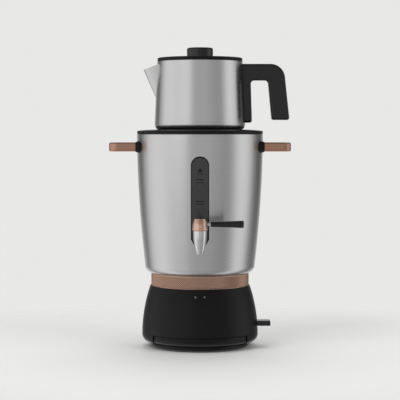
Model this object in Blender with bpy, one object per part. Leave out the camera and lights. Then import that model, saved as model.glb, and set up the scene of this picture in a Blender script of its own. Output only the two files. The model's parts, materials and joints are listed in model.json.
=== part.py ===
"""Electric samovar: a water tank with a lever tap, a teapot on top and a black base.

The model stands on Z = 0. The tap points to -Y, the teapot's spout to -X and its handle to +X.
Every size is in metres. Bodies that move hang on empties that lie on their joints' axes.
"""

import math

import bmesh
import bpy
from mathutils import Matrix, Vector

# Fits and faceting
GAP = 0.0003
OVERRUN = 0.004
MERGE = 0.000001
LARGE_STEPS = 24
MEDIUM_STEPS = 14
SMALL_STEPS = 10
FILLET_STEPS = 3
SMOOTH_ANGLE = math.radians(38)

# Heights of the stack, from the counter up
PAD_PROUD = 0.0012
COVER_HEIGHT = 0.0066
HOUSING_HEIGHT = 0.0885
RING_HEIGHT = 0.0194
TANK_HEIGHT = 0.2180
COLLAR_EDGE_HEIGHT = 0.0050
COLLAR_CROWN = 0.0020
SEAT_DEPTH = 0.0013
TEAPOT_HEIGHT = 0.1072
LID_EDGE_HEIGHT = 0.0056
LID_CROWN = 0.0016
KNOB_HEIGHT = 0.0141

COVER_TOP = PAD_PROUD + COVER_HEIGHT
HOUSING_BOTTOM = COVER_TOP + GAP
HOUSING_SHOULDER = HOUSING_BOTTOM + HOUSING_HEIGHT
RING_BOTTOM = HOUSING_SHOULDER + GAP
RING_TOP = RING_BOTTOM + RING_HEIGHT
TANK_BOTTOM = RING_TOP + GAP
TANK_RIM = TANK_BOTTOM + TANK_HEIGHT
COLLAR_BOTTOM = TANK_RIM + GAP
COLLAR_EDGE = COLLAR_BOTTOM + COLLAR_EDGE_HEIGHT
COLLAR_TOP = COLLAR_EDGE + COLLAR_CROWN
TEAPOT_BOTTOM = COLLAR_TOP - SEAT_DEPTH + GAP
TEAPOT_RIM = TEAPOT_BOTTOM + TEAPOT_HEIGHT
LID_BOTTOM = TEAPOT_RIM + GAP
LID_EDGE = LID_BOTTOM + LID_EDGE_HEIGHT
LID_TOP = LID_EDGE + LID_CROWN
KNOB_BOTTOM = LID_TOP + GAP

# Water tank
TANK_RADIUS = 0.0992
TANK_FLARE = 0.0128
TANK_CURVE_POWER = 1.85
TANK_FILLET = 0.0120
TANK_WALL = 0.0012
TANK_LEVEL_SHARES = (0.0, 0.27, 0.58, 1.0)

# Neck under the tank, which carries the tank and the trim ring
NECK_INSET = 0.0149
NECK_WALL = 0.0030
NECK_RADIUS = TANK_RADIUS - TANK_FLARE - NECK_INSET
FLANGE_WIDTH = 0.0095
FLANGE_THICKNESS = 0.0026
TANK_HOLE_INSET = 0.0135
TANK_HOLE = NECK_RADIUS - TANK_HOLE_INSET

# Knurled trim ring
RING_WIDTH = 0.0055
RING_RADIUS = NECK_RADIUS + RING_WIDTH
KNURL_DEPTH = 0.0008
KNURL_COUNT = 24
KNURL_ROWS = 3
RING_BAND = 0.0014

# Base housing
SHOULDER_WIDTH = 0.0015
SHOULDER_RADIUS = RING_RADIUS + SHOULDER_WIDTH
HOUSING_FLARE = 0.0129
HOUSING_RADIUS = SHOULDER_RADIUS + HOUSING_FLARE
HOUSING_FILLET = 0.0120
HOUSING_CURVE_POWER = 2.0
HOUSING_WALL = 0.0026
SHOULDER_CHAMFER = 0.0009
LIP_WIDTH = 0.0031
HOUSING_LEVEL_SHARES = (0.0, 0.5, 1.0)
INNER_LEVEL_SHARES = (0.0, 0.55, 1.0)
INNER_FILLET_STEPS = 2

# Bottom cover, its feet and screw bosses
COVER_INSET = 0.0134
COVER_RADIUS = HOUSING_RADIUS - COVER_INSET
COVER_FILLET = 0.0035
COVER_WALL = 0.0025
SPIGOT_HEIGHT = 0.0015
FOOT_INSET = 0.0314
FOOT_CIRCLE = HOUSING_RADIUS - FOOT_INSET
FOOT_RADIUS = 0.0070
FOOT_STEPS = 12
FOOT_RECESS = 0.0008
FOOT_START_ANGLE = 45
SCREW_INSET = 0.0229
SCREW_CIRCLE = HOUSING_RADIUS - SCREW_INSET
SCREW_ANGLES = (22, 158, 202, 338)
SCREW_HOLE = 0.0016
BOSS_RADIUS = 0.0035
BOSS_HEIGHT = 0.0140
RIB_THICKNESS = 0.0020
RIB_HEIGHT = 0.0200

# Drip tray in the front of the base
TRAY_SLOT_MARGIN = 0.0184
TRAY_SLOT_HALF = HOUSING_RADIUS - TRAY_SLOT_MARGIN
TRAY_SLOT_HEIGHT = 0.0153
TRAY_SLOT_BACK = 0.0450
TRAY_INSET = 0.0015
TRAY_SIDE_GAP = 0.0016
TRAY_TOP_GAP = 0.0010
TRAY_PANEL = 0.0022
TRAY_MARGIN = 0.0354
TRAY_HALF = HOUSING_RADIUS - TRAY_MARGIN
TRAY_BACK = 0.0120
TRAY_WALL = 0.0016
TRAY_DEPTH = 0.0095
RAIL_THICKNESS = 0.0020
RAIL_HEIGHT = 0.0060
RUNNER_INSET = 0.0210
RUNNER_SPACING = TRAY_HALF - RUNNER_INSET
RUNNER_WIDTH = 0.0030

# Indicator lamps
LAMP_DROP = 0.0110
LAMP_HEIGHT = HOUSING_HEIGHT - LAMP_DROP
LAMP_SPACING = 0.0069
LAMP_RADIUS = 0.0015
LAMP_PROUD = 0.0004
LAMP_LENGTH = 0.0060
BOARD_INSET = 0.0062
BOARD_WIDTH = 0.0300
BOARD_HEIGHT = 0.0140
BOARD_THICKNESS = 0.0016
PEG_SIZE = 0.0030

# Paddle switch on the right side
SWITCH_HEIGHT = 0.0285
SWITCH_REACH = 0.0197
SWITCH_PIVOT_INSET = 0.0100
PADDLE_HALF = 0.0040
PADDLE_WIDTH = 0.0240
PADDLE_CORNER = 0.0010
PADDLE_SIDE_GAP = 0.0008
PADDLE_DROP = 0.0032
PIN_RADIUS = 0.0015
EAR_THICKNESS = 0.0020
EAR_HALF = 0.0045
SWITCH_LENGTH = 0.0180
SWITCH_HALF_WIDTH = 0.0090
SWITCH_HALF_HEIGHT = 0.0095
PLUNGER_RADIUS = 0.0020
PLUNGER_LENGTH = 0.0015
PEDESTAL_INSET = 0.0015

# Cord gland at the back
GLAND_HEIGHT = 0.0155
GLAND_RADIUS = 0.0058
GLAND_FLANGE_RADIUS = 0.0085
GLAND_FLANGE = 0.0032
GLAND_BORE = 0.0036

# Heater under the tank
STUD_RADIUS = 0.0020
STUD_LENGTH = 0.0120
STUD_COUNT = 4
STUD_STEPS = 6
STUD_START_ANGLE = 45
SEAL_THICKNESS = 0.0014
PLATE_THICKNESS = 0.0014
PAN_DEPTH = 0.0045
PAN_MARGIN = 0.0012
NUT_RADIUS = 0.0044
NUT_HEIGHT = 0.0034
ELEMENT_INSET = 0.0285
ELEMENT_CIRCLE = NECK_RADIUS - ELEMENT_INSET
ELEMENT_RADIUS = 0.0034
ELEMENT_GAP_ANGLE = 40
ELEMENT_POINTS = 16
ELEMENT_SIDES = 6
THERMOSTAT_RADIUS = 0.0140
THERMOSTAT_HEIGHT = 0.0090

# Collar between tank and teapot
COLLAR_OPENING = 0.0500
COLLAR_WEB = 0.0026
COLLAR_SKIRT = 0.0080
COLLAR_SKIRT_WALL = 0.0022
COLLAR_CHAMFER = 0.0016
SEAT_MARGIN = 0.0010

# Gauge window and what is behind it
WINDOW_WIDTH = 0.0278
WINDOW_TOP_DROP = 0.0335
WINDOW_FOOT_RISE = 0.0400
WINDOW_LENGTH = TANK_HEIGHT - WINDOW_TOP_DROP - WINDOW_FOOT_RISE
WINDOW_TAPER = 0.0180
WINDOW_FOOT_RADIUS = 0.0065
WINDOW_FOOT_ANGLE = 20
GASKET_THICKNESS = 0.0012
CHANNEL_LAP = 0.0045
CHANNEL_FLANGE = 0.0018
CHANNEL_WALL = 0.0018
CHANNEL_DEPTH = 0.0171
TUBE_RADIUS = 0.0048
TUBE_WALL = 0.0010
TUBE_TOP_DROP = 0.0075
SHELF_THICKNESS = 0.0018
SHELF_HALF = 0.0075
SEAL_CUP_HEIGHT = 0.0050
SEAL_CUP_FLOOR = 0.0020
SEAL_CUP_WALL = 0.0016
PORT_RADIUS = 0.0024

# Side handles
HANDLE_DROP = 0.0200
HANDLE_REACH = 0.1420
HANDLE_SPACING = 0.0280
BAR_HEIGHT = 0.0140
BAR_WIDTH = 0.0110
BAR_CORNER = 0.0025
BEND_RADIUS = 0.0080
BEND_STEPS = 3
BUSH_RADIUS = 0.0095
BUSH_TIP_RADIUS = 0.0080
BUSH_STANDOFF = 0.0012
HANDLE_STUD_RADIUS = 0.0030
HANDLE_STUD_DEPTH = 0.0085
HANDLE_NUT_RADIUS = 0.0068
HANDLE_NUT_HEIGHT = 0.0050

# Tap
TAP_RISE = 0.0230
TAP_STANDOFF = 0.0265
TAP_RADIUS = 0.0102
TAP_MOUTH_RADIUS = 0.0058
TAP_HEAD = 0.0107
TAP_TAIL = 0.0221
TAP_SHAPE_SHARES = ((0.18, 0.74), (0.4, 0.88), (0.65, 0.97), (1.0, 1.0))
NOZZLE_HEIGHT = 0.0024
NOZZLE_RADIUS = 0.0063
NOZZLE_SPIGOT = 0.0030
NOZZLE_WALL = 0.0010
OUTLET_BORE = 0.0042
INLET_RADIUS = 0.0058
INLET_BORE = 0.0032
TAP_FLANGE_RADIUS = 0.0100
TAP_FLANGE = 0.0025
TAP_GASKET = 0.0022
TAP_NUT_RADIUS = 0.0098
TAP_NUT_HEIGHT = 0.0055
SHANK_END = 0.0090
VALVE_BORE = 0.0066
VALVE_PLAY = 0.0003
VALVE_DROP = 0.0075
VALVE_PORT = 0.0026
VALVE_WAY = 0.0031
STEM_RADIUS = 0.0040
CAP_HEIGHT = 0.0175
CAP_RADIUS = 0.0114
CAP_TOP_RADIUS = 0.0084
CAP_CROWN = 0.0009
CAP_ROOF = 0.0030
LEVER_RISE = 0.0200
LEVER_START = 0.0160
LEVER_LENGTH = 0.0500
LEVER_RADIUS = 0.0038
LEVER_END_RADIUS = 0.0055
LEVER_CROWN = 0.0012
ROD_RADIUS = 0.0021
ROD_GRIP_DEPTH = 0.0090

# Teapot
TEAPOT_RADIUS = 0.0713
TEAPOT_TAPER = 0.0041
TEAPOT_TOP_RADIUS = TEAPOT_RADIUS - TEAPOT_TAPER
TEAPOT_FILLET = 0.0090
TEAPOT_WALL = 0.0010
SPOUT_LENGTH = 0.0174
SPOUT_REACH = TEAPOT_RADIUS + SPOUT_LENGTH
SPOUT_TIP_DROP = 0.0125
SPOUT_MOUTH_DROP = 0.0055
SPOUT_FOOT_DROP = 0.0585
SPOUT_HALF_WIDTH = 0.0250
SPOUT_FOOT_HALF = 0.0030
SPOUT_ROOT = 0.0030
SPOUT_ROUNDNESS = 1.6
SPOUT_STEPS = 8
SPOUT_SHARES = (0.0, 0.33, 0.66, 1.0)
STRAINER_HOLE = 0.0021
STRAINER_STEPS = 6
STRAINER_PITCH = 0.0074
STRAINER_ROWS = 3
STRAINER_COLUMNS = 3
STRAINER_DROP = 0.0270

# Teapot handle
GRIP_DROP = 0.0035
ARM_HEIGHT = 0.0260
LEG_THICKNESS = 0.0123
LEG_SPREAD = 0.0020
LEG_FOOT_RISE = 0.0117
LEG_BOTTOM_DROP = TEAPOT_HEIGHT - LEG_FOOT_RISE
FINGER_ROOM = 0.0270
GRIP_THICKNESS = 0.0245
GRIP_LEAN = 0.0094
GRIP_INNER_LEAN = 0.0059
GRIP_END_RISE = 0.0159
GRIP_END_DROP = TEAPOT_HEIGHT - GRIP_END_RISE
GRIP_WIDTH = 0.0230
OUTER_BEND = 0.0230
INNER_BEND = 0.0055
END_CORNER = 0.0036
GRIP_BEVEL = 0.0034
BRACKET_HALF = 0.0055
BRACKET_HEIGHT = 0.0110
BRACKET_LENGTH = 0.0095
BRACKET_INSET = 0.0070
LOWER_BRACKET_RISE = 0.0212
LOWER_BRACKET_DROP = TEAPOT_HEIGHT - LOWER_BRACKET_RISE
LOWER_BRACKET_HEIGHT = 0.0100
LOWER_BRACKET_LENGTH = 0.0060
SCREW_RADIUS = 0.0016
SCREW_HEAD_RADIUS = 0.0030
SCREW_HEAD = 0.0018
SCREW_BITE = 0.0060
UPPER_SCREW_SHARE = 0.5

# Lid
LID_INSET = 0.0005
LID_RADIUS = TEAPOT_TOP_RADIUS - LID_INSET
LID_ROOF = 0.0022
LID_PLUG_DEPTH = 0.0080
LID_PLUG_WALL = 0.0022
LID_SEAL_WIDTH = 0.0012
LID_SEAL_HEIGHT = 0.0030
LID_EDGE_CHAMFER = 0.0012
KNOB_RADIUS = 0.0206
KNOB_FILLET = 0.0030
LID_SCREW_RADIUS = 0.0020
LID_SCREW_HEAD_RADIUS = 0.0042
LID_SCREW_HEAD = 0.0022
LID_SCREW_BITE = 0.0090


# Shaping helpers


def rgb(red, green, blue):
    """Linear colour with full alpha."""
    return (red, green, blue, 1.0)


def make_material(name, colour, roughness, metallic=0.0, alpha=1.0):
    """Principled material for one finish."""
    material = bpy.data.materials.new(name)
    material.use_nodes = True
    shader = material.node_tree.nodes["Principled BSDF"]
    shader.inputs["Base Color"].default_value = colour
    shader.inputs["Roughness"].default_value = roughness
    shader.inputs["Metallic"].default_value = metallic
    shader.inputs["Alpha"].default_value = alpha
    material.diffuse_color = colour
    return material


def clear_scene():
    """Remove what the scene holds at the start."""
    for obj in list(bpy.data.objects):
        bpy.data.objects.remove(obj)


def along(axis, origin=(0, 0, 0)):
    """Matrix that lays the local Z axis along the given axis through a point."""
    turn = Vector((0, 0, 1)).rotation_difference(Vector(axis)).to_matrix().to_4x4()
    return Matrix.Translation(origin) @ turn


def place(bm, name, matrix=None):
    """Turn a bmesh into a named object with outward normals."""
    bmesh.ops.remove_doubles(bm, verts=bm.verts, dist=MERGE)
    if matrix is not None:
        bm.transform(matrix)
    bmesh.ops.recalc_face_normals(bm, faces=bm.faces)
    mesh = bpy.data.meshes.new(name)
    bm.to_mesh(mesh)
    bm.free()
    obj = bpy.data.objects.new(name, mesh)
    bpy.context.scene.collection.objects.link(obj)
    return obj


def turned(name, outline, steps=LARGE_STEPS, matrix=None):
    """Spin an outline of (radius, height) points about Z. It may start and end on the axis."""
    bm = bmesh.new()
    points = [bm.verts.new((radius, 0, height)) for radius, height in outline]
    edges = [bm.edges.new(pair) for pair in zip(points, points[1:])]
    if outline[0][0] > 0 or outline[-1][0] > 0:
        edges.append(bm.edges.new((points[-1], points[0])))
    bmesh.ops.spin(
        bm,
        geom=points + edges,
        cent=(0, 0, 0),
        axis=(0, 0, 1),
        angle=math.tau,
        steps=steps,
    )
    return place(bm, name, matrix)


def prism(name, outline, low, high, normal="Z"):
    """Extrude a flat outline between two values of the axis named by normal."""
    lay = {
        "X": lambda u, v, w: (w, u, v),
        "Y": lambda u, v, w: (u, w, v),
        "Z": lambda u, v, w: (u, v, w),
    }[normal]
    bm = bmesh.new()
    base = bm.faces.new([bm.verts.new(lay(u, v, low)) for u, v in outline])
    grown = bmesh.ops.extrude_face_region(bm, geom=[base])
    moved = [item for item in grown["geom"] if isinstance(item, bmesh.types.BMVert)]
    bmesh.ops.translate(bm, verts=moved, vec=lay(0, 0, high - low))
    return place(bm, name)


def softened(name, outline, half, edge):
    """Prism along Y, centred on Y = 0, whose two outer rims are rounded by an amount."""
    points = [Vector(point) for point in outline]
    lanes = []
    for index, point in enumerate(points):
        before = (point - points[index - 1]).normalized()
        after = (points[(index + 1) % len(points)] - point).normalized()
        inward = Vector((-before.y - after.y, before.x + after.x))
        lanes.append(2 * inward / inward.length_squared)
    bends = arc((0, 0), edge, 0, 90, FILLET_STEPS - 1)
    layers = [(edge - run, half - edge + rise) for run, rise in bends]
    layers = [(inset, -depth) for inset, depth in reversed(layers)] + layers
    bm = bmesh.new()
    rings = []
    for inset, y in layers:
        moved = [point + lane * inset for point, lane in zip(points, lanes)]
        rings.append([bm.verts.new((spot.x, y, spot.y)) for spot in moved])
    close_rings(bm, rings)
    return place(bm, name)


def close_rings(bm, rings):
    """Skin a stack of vertex rings and cap its two ends."""
    bm.faces.new(rings[0])
    bm.faces.new(rings[-1])
    for first, second in zip(rings, rings[1:]):
        for index in range(len(first)):
            after = (index + 1) % len(first)
            bm.faces.new((first[index], first[after], second[after], second[index]))
    bm.normal_update()
    bmesh.ops.triangulate(bm, faces=bm.faces)


def block(name, low, high):
    """Box between two corners."""
    outline = [(low[0], low[1]), (high[0], low[1]), (high[0], high[1]), (low[0], high[1])]
    return prism(name, outline, low[2], high[2])


def cylinder(name, radius, low, high, axis, origin, steps=SMALL_STEPS):
    """Solid cylinder from low to high along an axis through a point."""
    outline = [(0, low), (radius, low), (radius, high), (0, high)]
    return turned(name, outline, steps, along(axis, origin))


def arc(centre, radius, start, end, steps=FILLET_STEPS):
    """Points of an arc in the outline's plane, angles in degrees."""
    points = []
    for step in range(steps + 1):
        angle = math.radians(start + (end - start) * step / steps)
        points.append((centre[0] + radius * math.cos(angle), centre[1] + radius * math.sin(angle)))
    return points


def rounded(corners, steps=FILLET_STEPS):
    """Outline through (u, v, radius) corners, each rounded by its own radius."""
    points = []
    for index, (u, v, radius) in enumerate(corners):
        here = Vector((u, v))
        before = Vector(corners[index - 1][:2]) - here
        after = Vector(corners[(index + 1) % len(corners)][:2]) - here
        if radius <= 0:
            points.append((u, v))
            continue
        half = before.angle(after) / 2
        setback = radius / math.tan(half)
        centre = here + (before.normalized() + after.normalized()).normalized() * (
            radius / math.sin(half)
        )
        start = here + before.normalized() * setback - centre
        sweep = start.angle_signed(here + after.normalized() * setback - centre)
        for step in range(steps + 1):
            spoke = Matrix.Rotation(-sweep * step / steps, 2) @ start
            points.append(tuple(centre + spoke))
    return points


def swept(name, path, section):
    """Carry a closed section of (side, up) points along a level path of (x, y, z) points."""
    bm = bmesh.new()
    rings = []
    for index, point in enumerate(path):
        ahead = Vector(path[min(index + 1, len(path) - 1)]) - Vector(point)
        behind = Vector(point) - Vector(path[max(index - 1, 0)])
        ahead = ahead if ahead.length > 0 else behind
        behind = behind if behind.length > 0 else ahead
        run = (ahead.normalized() + behind.normalized()).normalized()
        stretch = 1 / run.dot(ahead.normalized())
        side = Vector((run.y, -run.x, 0)) * stretch
        rings.append(
            [bm.verts.new(Vector(point) + side * s + Vector((0, 0, up))) for s, up in section]
        )
    close_rings(bm, rings)
    return place(bm, name)


def combine(target, tool, operation):
    """Apply one exact Boolean to the target and remove the tool body."""
    modifier = target.modifiers.new(operation.title(), "BOOLEAN")
    modifier.operation = operation
    modifier.solver = "EXACT"
    modifier.object = tool
    bpy.context.view_layer.update()
    graph = bpy.context.evaluated_depsgraph_get()
    shaped = bpy.data.meshes.new_from_object(target.evaluated_get(graph))
    target.modifiers.clear()
    target.data = shaped
    bpy.data.objects.remove(tool)
    return target


def subtract(target, *tools):
    """Cut each tool body out of the target."""
    for tool in tools:
        combine(target, tool, "DIFFERENCE")
    return target


def unite(target, *tools):
    """Join each tool body to the target."""
    for tool in tools:
        combine(target, tool, "UNION")
    return target


def keep_within(target, *tools):
    """Keep only what the target shares with each tool body."""
    for tool in tools:
        combine(target, tool, "INTERSECT")
    return target


def finish(obj, material, pivot=None):
    """Give a piece its material and shading, and hang it on its pivot."""
    obj.data.name = obj.name
    obj.data.materials.clear()
    obj.data.materials.append(material)
    obj.data.shade_smooth()
    obj.data.set_sharp_from_angle(angle=SMOOTH_ANGLE)
    if pivot is not None:
        obj.parent = pivot
        obj.location = -pivot.matrix_world.translation
    return obj


def make_pivot(name, location, parent=None):
    """Empty on a joint's axis."""
    pivot = bpy.data.objects.new(name, None)
    pivot.empty_display_size = KNOB_RADIUS
    bpy.context.scene.collection.objects.link(pivot)
    pivot.location = location
    if parent is not None:
        pivot.parent = parent
        pivot.location -= parent.location
    bpy.context.view_layer.update()
    return pivot


def polar(radius, degrees, z=0):
    """Point at a radius and an angle from +X."""
    angle = math.radians(degrees)
    return (radius * math.cos(angle), radius * math.sin(angle), z)


def fillet_spread(radius, height):
    """How far a quarter-round fillet has spread outwards at a height above its foot."""
    return math.sqrt(radius**2 - (radius - min(height, radius)) ** 2)


# Surfaces that several pieces share


def housing_radius(z):
    """Outer radius of the base housing above its bottom fillet."""
    low = HOUSING_BOTTOM + HOUSING_FILLET
    share = (z - low) / (HOUSING_SHOULDER - low)
    return HOUSING_RADIUS - (HOUSING_RADIUS - SHOULDER_RADIUS) * share**HOUSING_CURVE_POWER


def housing_side(inset, top_drop=0.0, shares=HOUSING_LEVEL_SHARES, steps=FILLET_STEPS):
    """Side of the housing from its foot to its shoulder, moved inwards by an inset."""
    centre = (HOUSING_RADIUS - HOUSING_FILLET, HOUSING_BOTTOM + HOUSING_FILLET)
    points = arc(centre, HOUSING_FILLET - inset, -90, 0, steps)
    low = centre[1]
    for share in shares[1:]:
        z = low + (HOUSING_SHOULDER - top_drop - low) * share
        points.append((housing_radius(z) - inset, z))
    return points


def housing_solid(inset):
    """Solid inside the housing's side, moved inwards by an inset."""
    side = housing_side(inset)
    return turned("housing_solid", [(0, side[0][1])] + side + [(0, side[-1][1])])


def tank_radius(z):
    """Outer radius of the tank's wall at a height."""
    low = TANK_BOTTOM + TANK_FILLET
    share = (z - low) / (TANK_RIM - low)
    return TANK_RADIUS - TANK_FLARE * (1 - share) ** TANK_CURVE_POWER


def tank_side(inset):
    """Side of the tank from its flat bottom to its rim, moved inwards by an inset."""
    low = TANK_BOTTOM + TANK_FILLET
    centre = (tank_radius(low) - TANK_FILLET, low)
    points = arc(centre, TANK_FILLET - inset, -90, 0)
    for share in TANK_LEVEL_SHARES[1:]:
        z = low + (TANK_RIM - low) * share
        points.append((tank_radius(z) - inset, z))
    return points


def tank_solid(inset):
    """Solid inside the tank's wall, moved inwards by an inset."""
    side = tank_side(inset)
    return turned("tank_solid", [(0, side[0][1])] + side + [(0, side[-1][1])])


def teapot_radius(z):
    """Outer radius of the teapot's wall at a height."""
    low = TEAPOT_BOTTOM + TEAPOT_FILLET
    share = (z - low) / (TEAPOT_RIM - low)
    return TEAPOT_RADIUS - (TEAPOT_RADIUS - TEAPOT_TOP_RADIUS) * share


def teapot_side(inset):
    """Side of the teapot from its flat bottom to its rim, moved inwards by an inset."""
    centre = (TEAPOT_RADIUS - TEAPOT_FILLET, TEAPOT_BOTTOM + TEAPOT_FILLET)
    points = arc(centre, TEAPOT_FILLET - inset, -90, 0)
    points.append((TEAPOT_TOP_RADIUS - inset, TEAPOT_RIM))
    return points


def teapot_solid(inset, rise=0.0):
    """Solid inside the teapot's wall, moved inwards by an inset and run past the rim."""
    side = teapot_side(inset)
    top = side[-1][1] + rise
    return turned(
        "teapot_solid", [(0, side[0][1])] + side + [(side[-1][0], top), (0, top)]
    )


def window_foot():
    """Height of the gauge window's lower end."""
    return TANK_RIM - WINDOW_TOP_DROP - WINDOW_LENGTH


def window_outline(grow):
    """Outline of the gauge window in X and Z, grown by an amount."""
    half = WINDOW_WIDTH / 2
    top = TANK_RIM - WINDOW_TOP_DROP - half
    taper = window_foot() + WINDOW_TAPER
    foot = window_foot() + WINDOW_FOOT_RADIUS
    points = arc((0, top), half + grow, 0, 180, 2 * FILLET_STEPS)
    points.append((-half - grow, taper))
    points += arc(
        (0, foot),
        WINDOW_FOOT_RADIUS + grow,
        180 + WINDOW_FOOT_ANGLE,
        360 - WINDOW_FOOT_ANGLE,
        FILLET_STEPS + 1,
    )
    points.append((half + grow, taper))
    return points


def tap_axis():
    """Place where the tap's vertical axis crosses its inlet's axis."""
    z = window_foot() + TAP_RISE
    return (0, -(tank_radius(z) + TAP_STANDOFF), z)


def channel_back():
    """Y of the outer face of the gauge channel's back wall."""
    return -(tank_radius(window_foot()) - CHANNEL_DEPTH)


def switch_pivot():
    """Point on the paddle switch's axis."""
    z = HOUSING_BOTTOM + SWITCH_HEIGHT
    return (housing_radius(z) - SWITCH_PIVOT_INSET, 0, z)


# Base


def tray_floor():
    """Height of the drip tray's underside."""
    return HOUSING_BOTTOM + TRAY_INSET


def make_housing(material):
    """Black housing with its neck, tray slot, lamp holes, switch opening and screw bosses."""
    outer = housing_side(0, SHOULDER_CHAMFER)
    inner = housing_side(HOUSING_WALL, HOUSING_WALL, INNER_LEVEL_SHARES, INNER_FILLET_STEPS)
    neck_inner = NECK_RADIUS - NECK_WALL
    flange_top = TANK_BOTTOM - SEAL_THICKNESS - PLATE_THICKNESS - 3 * GAP
    flange_low = flange_top - FLANGE_THICKNESS
    lip = outer[0][0] - LIP_WIDTH
    outline = [(lip, HOUSING_BOTTOM)] + outer
    outline += [
        (outer[-1][0] - SHOULDER_CHAMFER, HOUSING_SHOULDER),
        (NECK_RADIUS, HOUSING_SHOULDER),
        (NECK_RADIUS, RING_TOP),
        (neck_inner, RING_TOP),
        (neck_inner, flange_top),
        (neck_inner - FLANGE_WIDTH, flange_top),
        (neck_inner - FLANGE_WIDTH, flange_low),
        (neck_inner, flange_low),
        (neck_inner, inner[-1][1]),
    ]
    outline += list(reversed(inner)) + [(lip, inner[0][1])]
    housing = turned("base_housing", outline)
    low = COVER_TOP - COVER_WALL - SPIGOT_HEIGHT + GAP
    floor = PAD_PROUD + COVER_WALL
    for angle in SCREW_ANGLES:
        rib = prism(
            "rib",
            [(SCREW_CIRCLE, -RIB_THICKNESS / 2), (HOUSING_RADIUS, -RIB_THICKNESS / 2),
             (HOUSING_RADIUS, RIB_THICKNESS / 2), (SCREW_CIRCLE, RIB_THICKNESS / 2)],
            inner[0][1] + GAP,
            inner[0][1] + RIB_HEIGHT,
        )
        rib.data.transform(Matrix.Rotation(math.radians(angle), 4, "Z"))
        keep_within(rib, housing_solid(HOUSING_WALL / 2))
        boss = cylinder(
            "boss", BOSS_RADIUS, floor + GAP, floor + BOSS_HEIGHT, (0, 0, 1), polar(SCREW_CIRCLE, angle)
        )
        hole = cylinder(
            "hole", SCREW_HOLE, low - OVERRUN, floor + BOSS_HEIGHT - RIB_THICKNESS, (0, 0, 1),
            polar(SCREW_CIRCLE, angle), SMALL_STEPS,
        )
        unite(housing, subtract(unite(boss, rib), hole))
    cut_stud_holes(housing, flange_low, flange_top)
    slot = block(
        "slot",
        (-TRAY_SLOT_HALF, -HOUSING_RADIUS - OVERRUN, HOUSING_BOTTOM - OVERRUN),
        (TRAY_SLOT_HALF, -TRAY_SLOT_BACK, HOUSING_BOTTOM + TRAY_SLOT_HEIGHT),
    )
    subtract(housing, slot)
    add_lamp_seats(housing)
    add_switch_seat(housing)
    z = HOUSING_BOTTOM + GLAND_HEIGHT
    hole = cylinder(
        "hole", GLAND_RADIUS + GAP, HOUSING_RADIUS / 2, HOUSING_RADIUS + OVERRUN, (0, 1, 0), (0, 0, z),
        MEDIUM_STEPS,
    )
    subtract(housing, hole)
    return finish(housing, material)


def cut_stud_holes(target, low, high):
    """Cut the clearance holes of the tank's studs through a flange."""
    for index in range(STUD_COUNT):
        angle = STUD_START_ANGLE + 360 * index / STUD_COUNT
        subtract(
            target,
            cylinder(
                "hole", STUD_RADIUS + GAP, low - OVERRUN / 2, high + OVERRUN / 2, (0, 0, 1),
                polar(stud_circle(), angle), STUD_STEPS,
            ),
        )


def stud_circle():
    """Radius of the circle that the tank's studs stand on."""
    return NECK_RADIUS - NECK_WALL - FLANGE_WIDTH / 2


def lamp_level():
    """Height of the indicator lamps."""
    return HOUSING_BOTTOM + LAMP_HEIGHT


def board_front():
    """Y of the indicator board's front face."""
    return -(housing_radius(lamp_level() + BOARD_HEIGHT / 2) - BOARD_INSET)


def add_lamp_seats(housing):
    """Add the pegs that carry the indicator board, and cut the lamp holes."""
    z = lamp_level()
    for side in (-1, 1):
        x = side * (BOARD_WIDTH / 2 - PEG_SIZE)
        peg = block(
            "peg",
            (x - PEG_SIZE / 2, -HOUSING_RADIUS, z - PEG_SIZE / 2),
            (x + PEG_SIZE / 2, board_front() - GAP, z + PEG_SIZE / 2),
        )
        unite(housing, keep_within(peg, housing_solid(HOUSING_WALL / 2)))
        hole = cylinder(
            "hole", LAMP_RADIUS + GAP, -HOUSING_RADIUS - OVERRUN, -HOUSING_RADIUS / 2, (0, 1, 0),
            (side * LAMP_SPACING, 0, z),
        )
        subtract(housing, hole)


def add_switch_seat(housing):
    """Add the ears that hold the switch pin, and cut the paddle's opening."""
    x, _, z = switch_pivot()
    half = PADDLE_WIDTH / 2 + PADDLE_SIDE_GAP
    for side in (-1, 1):
        near, far = sorted((side * half, side * (half + EAR_THICKNESS)))
        ear = block(
            "ear", (x - EAR_HALF, near, z - EAR_HALF), (HOUSING_RADIUS, far, z + EAR_HALF)
        )
        unite(housing, keep_within(ear, housing_solid(HOUSING_WALL / 2)))
    opening = block(
        "opening",
        (x, -half, z - PADDLE_HALF - PADDLE_DROP),
        (HOUSING_RADIUS + OVERRUN, half, z + PADDLE_HALF + PADDLE_SIDE_GAP),
    )
    reach = half + EAR_THICKNESS + OVERRUN
    bore = cylinder("bore", PIN_RADIUS + GAP, -reach, reach, (0, 1, 0), (x, 0, z))
    subtract(housing, opening, bore)


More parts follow.
